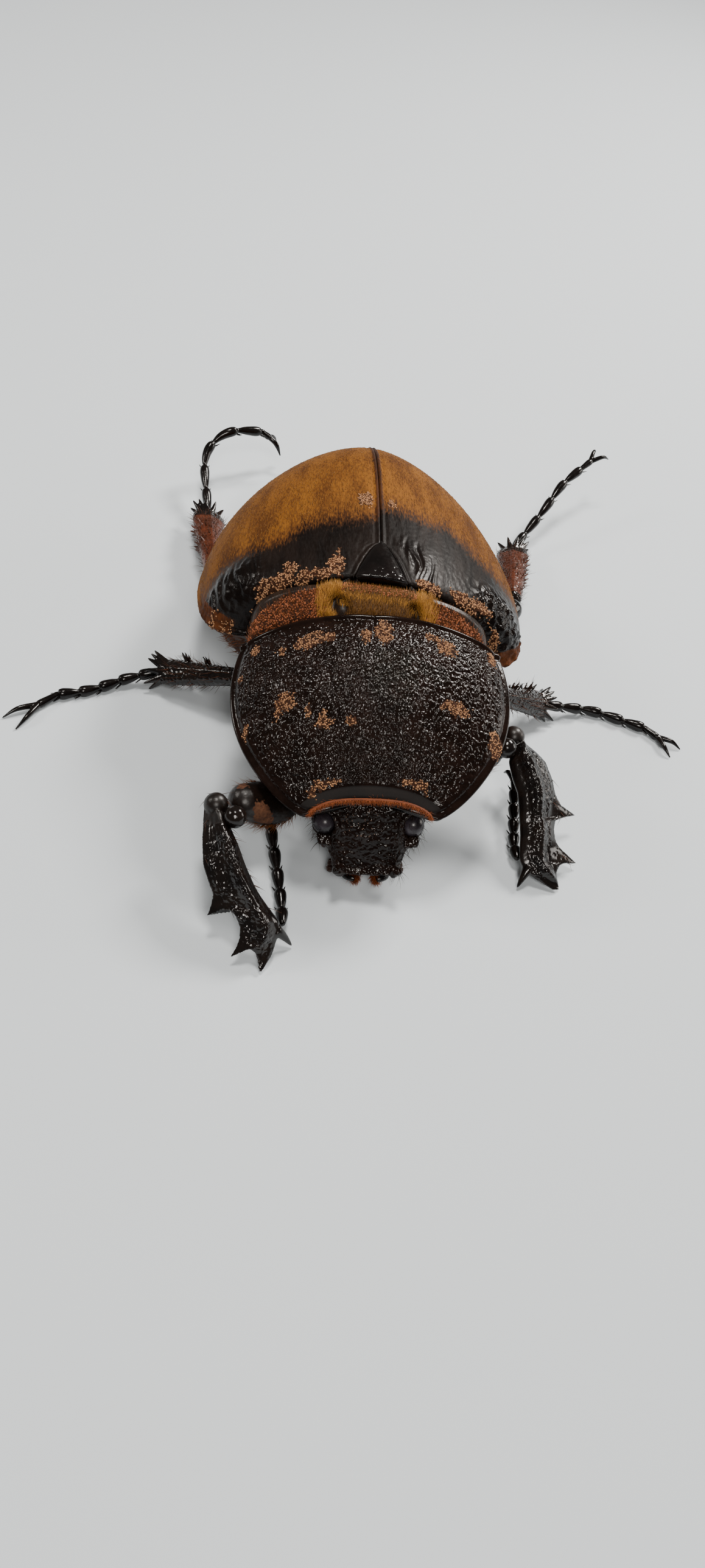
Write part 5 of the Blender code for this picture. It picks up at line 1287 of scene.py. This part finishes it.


# Legs. Each has a round hip of dark brown horn, a swollen thigh, a toothed or spiny shin, a
# beaded foot and two hooked claws of polished black horn. The places are over the floor.
LEGS = {
    "fore_right": {
        "hip": (-5.6, -19.6, 5.0), "knee": (-14.6, -29.9, 10.2), "bow": (-0.2, 1.3, -1.2),
        "shin": [(-16.5, -30.2, 9.7), (-15.7, -33.8, 7.9), (-13.6, -37.2, 5.3),
                 (-11.3, -39.7, 3.3), (-9.9, -41.8, 1.9)],
        "knob": (-14.80, -29.77, 10.2), "lobe": (-15.2, -26.9, 9.8), "seat": (-17.1, -27.9, 9.8),
        "sand_spots": ((-14.9, -25.0, 1.3), (-11.3, -27.6, 1.7)),
        "spur": (-6.6, -40.2, 0.5), "spur_row": 12, "outward": (-1.0, 0.2, 0.0),
        "blade": (
            ((-18.2, -27.5, 9.7), (-16.2, -28.2, 9.7)), ((-18.5, -28.2, 9.3), (-15.7, -29.4, 9.3)),
            ((-18.3, -32.0, 8.0), (-14.0, -32.4, 8.2)), ((-17.9, -34.7, 7.0), (-12.9, -34.4, 7.0)),
            ((-17.0, -36.5, 6.0), (-11.6, -36.3, 5.8)), ((-16.4, -37.4, 5.3), (-10.9, -37.0, 5.2)),
            ((-16.5, -38.2, 4.3), (-10.4, -37.4, 4.8)), ((-16.8, -39.1, 3.2), (-9.9, -37.9, 4.5)),
            ((-15.5, -38.6, 4.2), (-9.6, -38.1, 4.3)), ((-14.4, -38.9, 4.7), (-9.3, -38.4, 4.1)),
            ((-13.6, -39.6, 4.5), (-9.0, -38.6, 3.9)), ((-13.0, -40.4, 3.7), (-8.5, -39.1, 3.6)),
            ((-12.9, -41.5, 2.9), (-8.1, -39.6, 3.0)), ((-13.2, -42.3, 2.1), (-8.2, -40.1, 2.6)),
            ((-13.8, -43.2, 1.2), (-8.4, -40.5, 2.3)), ((-12.4, -42.3, 1.9), (-8.5, -40.7, 2.1)),
            ((-11.6, -42.3, 2.2), (-8.6, -41.0, 1.9)), ((-10.9, -42.6, 1.9), (-8.7, -41.5, 1.7)),
            ((-10.5, -43.2, 1.2), (-8.9, -42.3, 1.3)), ((-10.3, -44.3, 0.4), (-10.0, -44.4, 0.4))),
        "ridge": (1.2, 2.5),
        "tarsus": [(-8.0, -38.6, 2.2), (-8.1, -35.5, 1.5), (-8.7, -31.5, 1.7),
                   (-10.0, -24.9, 2.9)],
        "claws": (-10.7, -22.4, 3.6)},
    "fore_left": {
        "hip": (5.6, -18.6, 5.4), "knee": (18.4, -14.0, 10.6), "bow": (0.0, 0.0, -0.6),
        "shin": [(20.4, -11.9, 10.3), (22.6, -15.2, 8.4), (23.8, -18.2, 6.3),
                 (24.1, -22.0, 4.2), (24.5, -26.1, 2.2)],
        "knob": (18.83, -14.12, 10.7), "lobe": (18.4, -12.6, 9.9), "seat": (20.1, -11.6, 10.3),
        "sand_spots": ((15.0, -15.5, 1.5),),
        "spur": (21.7, -28.4, 0.5), "spur_row": 15, "outward": (1.0, 0.0, 0.0),
        "blade": (
            ((21.2, -11.1, 10.3), (20.0, -12.2, 10.2)), ((21.8, -12.5, 10.2), (19.4, -15.4, 9.5)),
            ((23.3, -13.2, 9.6), (19.6, -16.0, 9.1)), ((24.6, -14.0, 8.9), (20.1, -17.1, 8.2)),
            ((25.7, -15.7, 7.6), (20.9, -18.4, 7.2)), ((26.4, -17.0, 6.2), (21.2, -19.8, 6.2)),
            ((27.4, -17.6, 5.0), (21.3, -20.7, 5.7)), ((30.0, -17.6, 3.2), (21.4, -21.5, 5.2)),
            ((28.3, -18.6, 3.8), (21.5, -21.7, 5.0)), ((26.6, -19.9, 4.4), (21.5, -22.0, 4.8)),
            ((26.4, -21.1, 4.0), (21.6, -22.9, 4.3)), ((26.7, -22.2, 3.2), (21.6, -24.0, 3.7)),
            ((27.5, -22.7, 2.4), (21.6, -24.8, 3.3)), ((28.3, -23.1, 2.0), (21.6, -25.3, 3.0)),
            ((30.0, -24.1, 1.2), (21.8, -26.0, 2.6)), ((28.3, -24.4, 1.7), (22.1, -26.4, 2.3)),
            ((27.3, -25.2, 1.8), (22.4, -26.8, 2.1)), ((26.9, -26.2, 1.4), (22.9, -27.1, 1.9)),
            ((27.2, -27.1, 0.7), (24.8, -27.7, 1.1)), ((27.4, -28.0, 0.4), (26.4, -28.2, 0.5))),
        "ridge": (2.1, 2.5),
        "tarsus": [(21.7, -24.9, 1.9), (21.6, -22.4, 1.5), (21.8, -19.0, 1.7),
                   (22.1, -13.9, 2.8)],
        "claws": (22.3, -11.3, 3.3)},
    "mid_right": {
        "hip": (-5.4, -3.2, 4.6), "knee": (-14.6, -3.9, 7.7), "bow": NO_BOW,
        "shin": [(-15.6, -3.6, 7.3), (-20.9, -1.5, 4.9), (-26.3, 0.7, 2.5)],
        "outward": (-0.45, 0.9, 0.0),
        "tarsus": [(-27.3, 0.7, 2.2), (-30.6, -0.3, 1.3), (-35.0, -2.6, 0.7),
                   (-39.2, -4.3, 0.75)],
        "claws": (-44.0, -9.7, 0.5)},
    "mid_left": {
        "hip": (5.4, -2.8, 4.6), "knee": (17.7, -2.9, 9.0), "bow": NO_BOW,
        "shin": [(18.6, -2.3, 8.4), (23.3, 0.5, 5.5), (28.0, 3.3, 2.5)],
        "outward": (0.45, 0.9, 0.0),
        "tarsus": [(29.1, 3.6, 2.3), (33.0, 4.6, 1.4), (36.9, 4.9, 0.85), (43.9, 2.9, 0.75)],
        "claws": (47.6, -0.8, 0.5)},
    "hind_right": {
        "hip": (-7.4, 8.6, 4.0), "knee": (-20.3, 18.9, 4.4), "bow": NO_BOW,
        "shin": [(-20.6, 20.5, 4.4), (-21.8, 29.0, 3.6), (-22.6, 37.4, 2.6)],
        "outward": (-1.0, 0.1, 0.2),
        "tarsus": [(-23.0, 38.9, 2.9), (-24.1, 46.6, 5.4), (-22.9, 50.1, 7.3),
                   (-20.0, 51.9, 8.5), (-15.6, 54.2, 7.7)],
        "claws": (-12.8, 55.0, 4.9)},
    "hind_left": {
        "hip": (7.6, 9.2, 4.0), "knee": (24.3, 20.4, 5.3), "bow": NO_BOW,
        "shin": [(24.5, 22.0, 5.2), (25.7, 30.5, 4.0), (26.8, 39.0, 2.6)],
        "outward": (1.0, 0.1, 0.2),
        "tarsus": [(27.4, 40.5, 2.7), (29.8, 43.8, 3.4), (32.6, 47.8, 5.3),
                   (35.6, 52.5, 7.2), (39.0, 56.3, 8.4)],
        "claws": (42.9, 60.5, 9.5)},
}
PAIRS = {
    "fore": {"hip": (3.3, 2.9, 2.9), "thigh": (2.8, 2.3), "knee": 2.1, "bristles": 0.25},
    "mid": {"hip": (3.0, 2.6, 2.2), "thigh": (2.5, 2.1), "knee": 1.6, "bristles": 0.6,
            "shin": (1.15, 1.5, 2.0), "red": 0.30},
    "hind": {"hip": (4.2, 2.8, 2.1), "thigh": (3.2, 2.3), "knee": 1.9, "bristles": 0.8,
             "shin": (1.3, 1.8, 2.6), "red": 0.95}}
KNOB_RADIUS = 1.35
SEAT_RADIUS = 1.45
THIGH_HINT = np.array((0.3, 1.0, 0.0))
LINE_POINTS = 90
BLADE_ROWS_PER_SPAN = 11
BLADE_SIDES = 84
FOOT_BEADS = 5
ROWS_PER_BEAD = 26
FOOT_SLIMNESS = 0.78
FOOT_SPINES = (-1.1, -0.45, 0.45, 1.1)
COMB_LEANS = (-0.8, -0.4, 0.0, 0.4, 0.8)
COMBS = ((0.36, 1.0), (0.62, 1.4))
CROWN = ((1.0, 0.5), (1.0, -0.3), (0.35, 1.0), (-0.3, 1.0), (-0.9, 0.4), (-0.9, -0.5), (0.7, 0.8))
THIGH_VOXEL = 0.15
FORE_SHIN_VOXEL, SHIN_VOXEL = 0.11, 0.12
CLAW_VOXEL = 0.09
HIP_BALL = ball_rings(44, 64)


def unit(vector):
    vector = np.asarray(vector, float)
    return vector / np.linalg.norm(vector)


def blade_rings(edges, axis, ridge_start, ridge_end):
    """A toothed plate between an outer and an inner edge, with a punctured ridge along it."""
    edges = np.array(edges, float)
    spans = np.linspace(0.0, len(edges) - 1, (len(edges) - 1) * BLADE_ROWS_PER_SPAN + 1)
    path = [[np.interp(spans, np.arange(len(edges)), edges[:, side, k]) for k in range(3)]
            for side in (0, 1)]
    outer, inner = np.moveaxis(np.array(path), 1, -1)
    soft = np.hanning(7)[1:-1] / np.hanning(7)[1:-1].sum()
    for line in (outer, inner):
        for k in range(3):
            padded = np.pad(line[:, k], 2, mode="edge")
            line[:, k] = np.convolve(padded, soft, "valid")
    part = spans / spans[-1]
    half_thick = np.interp(part, (0.0, 0.05, 0.15, 0.4, 0.7, 0.9, 1.0),
                           (0.5, 1.2, 1.5, 1.45, 1.0, 0.7, 0.4))
    turn = full_turn(BLADE_SIDES)
    across = (1.0 - np.cos(turn)) / 2.0
    over = np.where(turn <= math.pi, 1.0, -1.0)
    reach = np.linalg.norm(inner - outer, axis=1)[:, None]
    from_inner = (1.0 - across)[None] * reach
    from_outer = across[None] * reach
    edge_round = np.sqrt(1.0 - (1.0 - np.clip(from_inner / 1.3, 0.0, 1.0)) ** 2)
    keen = 1.0 - np.exp(-from_outer / 0.8)
    ridge_at = ridge_start + (ridge_end - ridge_start) * part[:, None]
    stout = 0.38 + 0.62 * hump(from_inner, ridge_at + 0.2, 1.9)
    high = half_thick[:, None] * edge_round * keen * stout
    middle = outer[:, None] + (inner - outer)[:, None] * across[None, :, None]
    ridge = hump(from_inner, ridge_at, 0.75)
    waves = 0.16 * (sample(pits, middle * 0.95 + 9.0) - 0.4) * hump(from_outer, 2.0, 1.9)
    fine_ridge = 0.14 * hump(from_outer, 0.75, 0.22) * ease(0.28, 0.20, part)[:, None]
    holes = sample(pits, middle * 1.9) * 0.34 * hump(from_inner, ridge_at + 0.1, 1.0)
    groove = 0.14 * hump(from_inner, ridge_at + 1.35, 0.4)
    groove = groove + 0.10 * hump(from_inner, ridge_at - 1.2, 0.3)
    top_relief = (0.40 * ridge + fine_ridge - groove - holes - waves) * edge_round * keen
    normal = np.cross(unit(axis), unit((inner - outer).mean(0)))
    normal *= np.sign(normal[2])
    lift = over * high + (over > 0.0) * top_relief
    return middle + unit(normal) * lift[..., None]


def above_floor(rings, level=0.02):
    """Keeps a body from sinking into what it stands on."""
    rings = np.array(rings)
    rings[..., 2] = np.maximum(rings[..., 2], level)
    return rings


def along_limb(mesh, line, hint):
    """For each point of a skin: its share along a line, and how far across it lies."""
    here = mesh_points(mesh) / MM + BEETLE_MIDDLE
    ahead = np.gradient(line, axis=0)
    ahead /= np.linalg.norm(ahead, axis=1, keepdims=True)
    away = ((here[:, None, :] - line[None]) ** 2).sum(-1)
    nearest = away.argmin(1)
    offset = here - line[nearest]
    side = hint - ahead[nearest] * (ahead[nearest] @ hint)[:, None]
    side /= np.linalg.norm(side, axis=1, keepdims=True)
    up = np.cross(side, ahead[nearest])
    up *= np.sign(up[:, 2:3])
    return (here, nearest / (len(line) - 1), (offset * side).sum(1), (offset * up).sum(1))


def raise_skin(mesh, rise):
    """Moves each point of a skin out by its own amount, in millimetres."""
    here = mesh_points(mesh)
    out = mesh_points(mesh, normals=True)
    moved = here + out * (rise * MM)[:, None]
    moved[:, 2] = np.maximum(moved[:, 2], 0.0)
    mesh.vertices.foreach_set("co", moved.astype(np.float32).ravel())
    mesh.update()


leg_black = cuticle(
    "polished leg", (0.0040, 0.0030, 0.0028), (0.009, 0.0058, 0.0045), 0.13, grain=0.35,
    relief=0.015, pebble=(0.55, 0.13, "pitted"), shine=0.42,
    coats=(("matt", (0.0035, 0.0022, 0.0016), (0.0095, 0.0050, 0.0034), 0.36, 0.5, 0.2),
           ("mahogany", (0.034, 0.008, 0.003), (0.095, 0.024, 0.009), 0.32, 0.5, 0.2),
           ("sand", (0.045, 0.015, 0.006), (0.14, 0.055, 0.024), 0.85, 0.9, 0.15)))
fur_fringe = hair_finish("leg fringe", (0.06, 0.016, 0.004), (0.28, 0.095, 0.025), 0.5)
leg_bristle = hair_finish("leg bristles", (0.010, 0.004, 0.003), (0.09, 0.03, 0.012), 0.4)


def clouds(here, scale):
    return sample(noise.noise, here * scale)


def limb_unwrap(share, across, over):
    """Where each point of a limb lies on its skin laid flat."""
    return np.column_stack([share * 0.96 + 0.02, np.arctan2(over, across) / 6.4 + 0.5])


def make_hip(name, leg, sizes):
    rings = np.array(leg["hip"]) + HIP_BALL * np.array(sizes["hip"])
    rings = swollen(rings, -0.10 * sample(pits, rings * 1.2))
    place_piece("hip_" + name, lofted("hip_" + name, standing(rings)), brown_horn, "leg",
                "coxa_" + name)


def make_thigh(name, leg, sizes, fore):
    """A swollen thigh that ends in a knee, with a ball for the blade of a fore shin."""
    hip, knee_place, knee = np.array(leg["hip"]), np.array(leg["knee"]), sizes["knee"]
    wide, high = sizes["thigh"]
    along = unit(knee_place - hip)
    start = hip + along * (sizes["hip"][0] - 0.9)
    middle = (start + knee_place) / 2 + np.array(leg["bow"])
    ends = [leg["lobe"]] if fore else [knee_place, knee_place + along * knee * 0.75]
    route = smooth_route([start, middle] + ends)
    widths = ((0.0, wide * 0.62), (0.3, wide), (0.6, wide * 0.93), (0.85, knee), (1.0, knee * 0.9))
    heights = ((0.0, high * 0.62), (0.3, high), (0.6, high * 0.93), (0.85, knee * 0.95),
               (1.0, knee * 0.85))
    bodies = [limb_rings(route, widths, heights, THIGH_HINT, 60, 90, 0.08, 0.16 if fore else 0.10)]
    if fore:
        bodies.append(np.array(leg["knob"]) + HIP_BALL * KNOB_RADIUS)
    mesh = grown_together("thigh_" + name, [standing(r) for r in bodies], THIGH_VOXEL, 5)
    here, share, across, over = along_limb(mesh, even_line(route, LINE_POINTS), THIGH_HINT)
    rise = 0.0 if fore else 0.10 * hump(share, 0.86, 0.03) - 0.06 * hump(share, 0.79, 0.03)
    raise_skin(mesh, rise - 0.07 * sample(pits, here * 1.5) * ease(0.95, 0.7, share)
               + 0.03 * (sample(cobbles, here * 1.1) - 0.5))
    dusty = clouds(here, 0.5)
    if fore:
        from_knob = np.linalg.norm(here - np.array(leg["knob"]), axis=1)
        sand = np.zeros(len(here))
        for x, y, reach in leg["sand_spots"]:
            sand += hump(here[:, 0], x, reach) * hump(here[:, 1], y, reach)
        sand = sand + 0.35 * dusty + 0.2 * sample(beads, here * 2.2)
        paint(mesh, "matt", ease(KNOB_RADIUS, KNOB_RADIUS + 0.5, from_knob))
        paint(mesh, "sand", ease(0.45, 0.75, sand) * ease(0.0, 0.6, over))
    else:
        paint(mesh, "mahogany", 0.45 * ease(0.7, 0.2, share))
        paint(mesh, "sand", 0.35 * ease(0.05, 0.45, dusty) * ease(0.8, 0.6, share))
    place_piece("thigh_" + name, mesh, leg_black, "leg", "femur_" + name)
    fringe = ease(0.72, 0.95, np.abs(across) / wide) * ease(0.85, 0.7, share)
    fringe *= ease(0.4, -0.6, over) if fore else 0.4
    grow_coat("thigh_fringe_" + name, mesh, HAIR, fringe, along, 14.0, 1.7, 0.036, fur_fringe,
              stand=0.4, spread=0.3, curl=0.2, seed=47, unwrap=limb_unwrap(share, across, over))


def fore_shin_bodies(leg, line):
    """The toothed blade of a fore shin, the dome it turns in and its spur."""
    outer, inner = (np.array(place) for place in leg["blade"][leg["spur_row"]])
    spur_root = inner * 0.85 + outer * 0.15
    return [blade_rings(leg["blade"], line[-1] - line[0], *leg["ridge"]),
            np.array(leg["seat"]) + HIP_BALL * SEAT_RADIUS,
            spike(spur_root, leg["spur"], 0.80, 0.10, (0.0, 0.0, 0.25), 0.9, 20, 18)]


def spiny_shin_bodies(leg, line, sizes):
    """A round shin with two combs, a crown of spines at its end and a heel."""
    base, middle, end = sizes["shin"]
    hint = unit(leg["outward"])
    bodies = [limb_rings(line, ((0.0, base), (0.45, middle), (0.88, end), (1.0, end * 0.75)),
                         ((0.0, base * 0.95), (0.2, base * 1.05), (0.7, base), (1.0, base * 0.7)),
                         hint, 64, 100, 0.06, 0.10)]
    run = unit(line[-1] - line[0])
    out = unit(hint - run * (run @ hint))
    up = np.cross(out, run)
    up = up if up[2] > 0.0 else -up
    last = len(line) - 1
    for station, reach in COMBS:
        root = line[round(station * last)] + out * 0.3
        for lean in COMB_LEANS:
            tip = root + unit(out + up * lean) * (1.3 + reach) + run * 1.3
            bodies.append(spike(root, tip, 0.42, 0.06, run * -0.15, 1.0, 12, 12))
    for step_out, lift in CROWN:
        root = line[last - 8] + (out * step_out + up * lift * 0.4) * 0.9
        tip = root + out * step_out * 1.8 + up * lift * 1.4 + run * 2.5
        tip[2] = max(tip[2], 0.3)
        bodies.append(spike(root, tip, 0.62, 0.08, NO_BOW, 1.0, 14, 12))
    heel = line[-1] + run * 1.2
    heel[2] = 0.15
    bodies.append(spike(line[last - 10], heel, 0.85, 0.25, NO_BOW, 1.0, 14, 14))
    return bodies


def make_shin(name, leg, sizes, fore):
    """A shin and its bristles; gives the line along its middle."""
    line = even_line(smooth_route(leg["shin"]), LINE_POINTS)
    hint = unit(leg["outward"])
    bodies = fore_shin_bodies(leg, line) if fore else spiny_shin_bodies(leg, line, sizes)
    mesh = grown_together("shin_" + name, [standing(above_floor(r)) for r in bodies],
                          FORE_SHIN_VOXEL if fore else SHIN_VOXEL)
    here, share, across, over = along_limb(mesh, line, hint)
    upper_side = ease(-0.2, 0.5, over)
    bristly = sizes["bristles"] * ease(0.97, 0.85, share)
    if fore:
        rise = -0.10 * sample(pits, here * 1.2 + 5.0) * (1 - upper_side)
        paint(mesh, "matt", ease(0.05, 0.0, share))
        paint(mesh, "pitted", upper_side * ease(0.06, 0.16, share) * ease(-2.2, -1.0, across)
              * ease(2.6, 1.2, across))
        bristly *= ease(0.2, -0.4, over)
    else:
        rise = (0.14 * hump(across / sizes["shin"][1], 0.05, 0.22) * upper_side
                - 0.14 * sample(pits, here * 1.5) + 0.05 * (sample(cobbles, here * 1.6) - 0.5))
        paint(mesh, "mahogany", sizes["red"] * ease(0.92, 0.75, share) * ease(0.02, 0.12, share)
              * ease(-0.6, 0.1, clouds(here, 0.35) + 0.2))
    raise_skin(mesh, rise * ease(1.0, 0.92, share))
    place_piece("shin_" + name, mesh, leg_black, "leg", "tibia_" + name)
    grow_coat("shin_bristles_" + name, mesh, HAIR, bristly, unit(line[-1] - line[0]), 2.4, 1.5,
              0.045, leg_bristle, stand=0.45, spread=0.25, curl=0.1, seed=53,
              unwrap=limb_unwrap(share, across, over))
    return line


def make_foot(name, leg, shin_end, fore):
    """A foot of beads, each with four small spines; gives the line along its middle."""
    joints = [np.array(place) for place in leg["tarsus"]]
    if not fore:
        joints[0] = joints[0] + (shin_end - joints[0]) * 0.9
    rows = FOOT_BEADS * ROWS_PER_BEAD
    line = even_line(smooth_route(joints), rows)
    shares = np.linspace(0.0, 1.0, rows)
    phase = (shares * FOOT_BEADS) % 1.0
    swell = 0.46 + 0.46 * np.sin(np.clip(phase * 1.04, 0, 1) * math.pi * 0.86) ** 1.1
    swell += 0.18 * ease(0.45, 0.85, phase) - 0.30 * ease(0.90, 1.0, phase)
    swell *= FOOT_SLIMNESS
    bodies = [limb_rings(line, list(zip(shares, swell)), list(zip(shares, swell * 0.96)),
                         (0.2, 0.1, 1.0), 36, rows, 0.015, 0.02, 0.001)]
    run = np.gradient(line, axis=0)
    for k in range(1, FOOT_BEADS + 1):
        at = min(round(k / FOOT_BEADS * rows) - 4, rows - 1)
        ahead = unit(run[at])
        under = unit(np.array((0.0, 0.0, -1.0)) + ahead * ahead[2])
        aside = np.cross(ahead, under)
        for swing in FOOT_SPINES:
            out = under * math.cos(swing) + aside * math.sin(swing)
            root = line[at] + out * 0.5 * FOOT_SLIMNESS
            tip = root + out * 0.55 + ahead * 1.1
            tip[2] = max(tip[2], 0.06)
            bodies.append(spike(root, tip, 0.15, 0.03, NO_BOW, 1.0, 8, 8))
    mesh = side_by_side("foot_" + name, [standing(above_floor(r)) for r in bodies])
    place_piece("foot_" + name, mesh, polished_black, "leg", "tarsus_" + name)
    return line


def make_claws(name, leg, foot):
    """Two hooked claws on a short neck at the end of the foot."""
    end_place, ahead = foot[-1], unit(np.gradient(foot, axis=0)[-1])
    tip = np.array(leg["claws"])
    reach = float(np.linalg.norm(tip - end_place))
    toward = unit(tip - end_place)
    aside = unit(np.cross(toward, (0.0, 0.0, 1.0)))
    begin = end_place - ahead * 0.4
    neck = end_place + ahead * 0.35 + toward * reach * 0.42
    neck_route = [begin, begin + ahead * 0.5, begin + ahead * 0.5 + toward * 0.5, neck]
    bodies = [limb_rings(smooth_route(neck_route), ((0.0, 0.38), (0.8, 0.58), (1.0, 0.5)),
                         ((0.0, 0.38), (0.8, 0.55), (1.0, 0.45)), aside, 30, 50, 0.06, 0.15)]
    for side_of in (-1.0, 1.0):
        root = neck - toward * 0.35
        bend = neck + toward * reach * 0.32 + aside * side_of * 0.95 + np.array((0, 0, 0.25))
        point = neck + toward * reach * 0.62 + aside * side_of * 1.35 - np.array((0, 0, 0.9))
        point[2] = max(point[2], 0.2)
        bodies.append(limb_rings(smooth_route([root, bend, point]),
                                 ((0.0, 0.42), (0.5, 0.34), (1.0, 0.09)),
                                 ((0.0, 0.42), (0.5, 0.38), (1.0, 0.09)), aside, 24, 50,
                                 0.05, 0.03))
    mesh = grown_together("claws_" + name, [standing(above_floor(r)) for r in bodies], CLAW_VOXEL)
    place_piece("claws_" + name, mesh, polished_black, "leg", "claws_" + name)


for leg_name, leg in LEGS.items():
    pair = leg_name.split("_")[0]
    make_hip(leg_name, leg, PAIRS[pair])
    make_thigh(leg_name, leg, PAIRS[pair], pair == "fore")
    shin_line = make_shin(leg_name, leg, PAIRS[pair], pair == "fore")
    foot_line = make_foot(leg_name, leg, shin_line[-1], pair == "fore")
    make_claws(leg_name, leg, foot_line)


# Camera, floor and light. The camera stands where its outline of the beetle falls on the
# one in the picture, over a pale floor under five soft lamps.
CAMERA_RIGHT = Vector((0.98565757, -0.00140656, 0.16875179))
CAMERA_UP = Vector((-0.1102786, 0.75155491, 0.65038745))
CAMERA_AHEAD = Vector((0.12774105, 0.65966903, -0.74062068))
CAMERA_PLACE = standing((-19.2189569, -116.65105696, 115.68031496))
LENS_PIXELS = 1935.0
PICTURE_HEIGHT = 2576.0
SENSOR = 36.0

lens = bpy.data.cameras.new("camera")
lens.sensor_width = SENSOR
lens.lens = SENSOR * LENS_PIXELS / PICTURE_HEIGHT
lens.clip_start = 0.001
camera = bpy.data.objects.new("camera", lens)
turned = Matrix((CAMERA_RIGHT, CAMERA_UP, -CAMERA_AHEAD)).transposed().to_4x4()
camera.matrix_world = Matrix.Translation(Vector(CAMERA_PLACE.tolist())) @ turned
bpy.context.scene.collection.objects.link(camera)
bpy.context.scene.camera = camera

FLOOR_HALF = 1.5
floor_mesh = bpy.data.meshes.new("floor")
floor_mesh.from_pydata([(-FLOOR_HALF, -FLOOR_HALF, 0), (FLOOR_HALF, -FLOOR_HALF, 0),
                        (FLOOR_HALF, FLOOR_HALF, 0), (-FLOOR_HALF, FLOOR_HALF, 0)], [],
                       [(0, 1, 2, 3)])
floor = bpy.data.objects.new("floor", floor_mesh)
bpy.context.scene.collection.objects.link(floor)
floor_finish = bpy.data.materials.new("pale floor")
floor_finish.use_nodes = True
floor_surface = floor_finish.node_tree.nodes["Principled BSDF"]
floor_surface.inputs["Base Color"].default_value = (0.58, 0.63, 0.67, 1.0)
floor_surface.inputs["Roughness"].default_value = 0.85
floor_mesh.materials.append(floor_finish)


def softbox(name, place, height, size, power):
    """A large soft light that faces the beetle at a height over the floor, in metres."""
    light = bpy.data.lights.new(name, "AREA")
    light.shape = "RECTANGLE"
    light.size, light.size_y = size
    light.energy = power
    light.color = WARM
    made = bpy.data.objects.new(name, light)
    made.location = place
    toward = Vector((0.0, 0.0, height)) - Vector(place)
    made.rotation_euler = toward.to_track_quat("-Z", "Y").to_euler()
    bpy.context.scene.collection.objects.link(made)


WARM = (1.0, 0.95, 0.89)
softbox("window", (0.26, 0.28, 0.34), 0.015, (0.13, 0.13), 3.2)
softbox("ceiling", (-0.03, 0.06, 0.45), 0.015, (0.09, 0.09), 1.5)
softbox("left lamp", (-0.36, 0.05, 0.26), 0.015, (0.09, 0.09), 0.6)
softbox("front lamp", (0.00, -0.38, 0.42), 0.010, (0.14, 0.14), 1.5)
softbox("right lamp", (0.42, 0.10, 0.15), 0.020, (0.20, 0.14), 0.65)

world = bpy.data.worlds.new("studio")
world.use_nodes = True
sky = world.node_tree.nodes["Background"].inputs
sky["Color"].default_value = (1.0, 0.95, 0.90, 1.0)
sky["Strength"].default_value = 0.14
bpy.context.scene.world = world
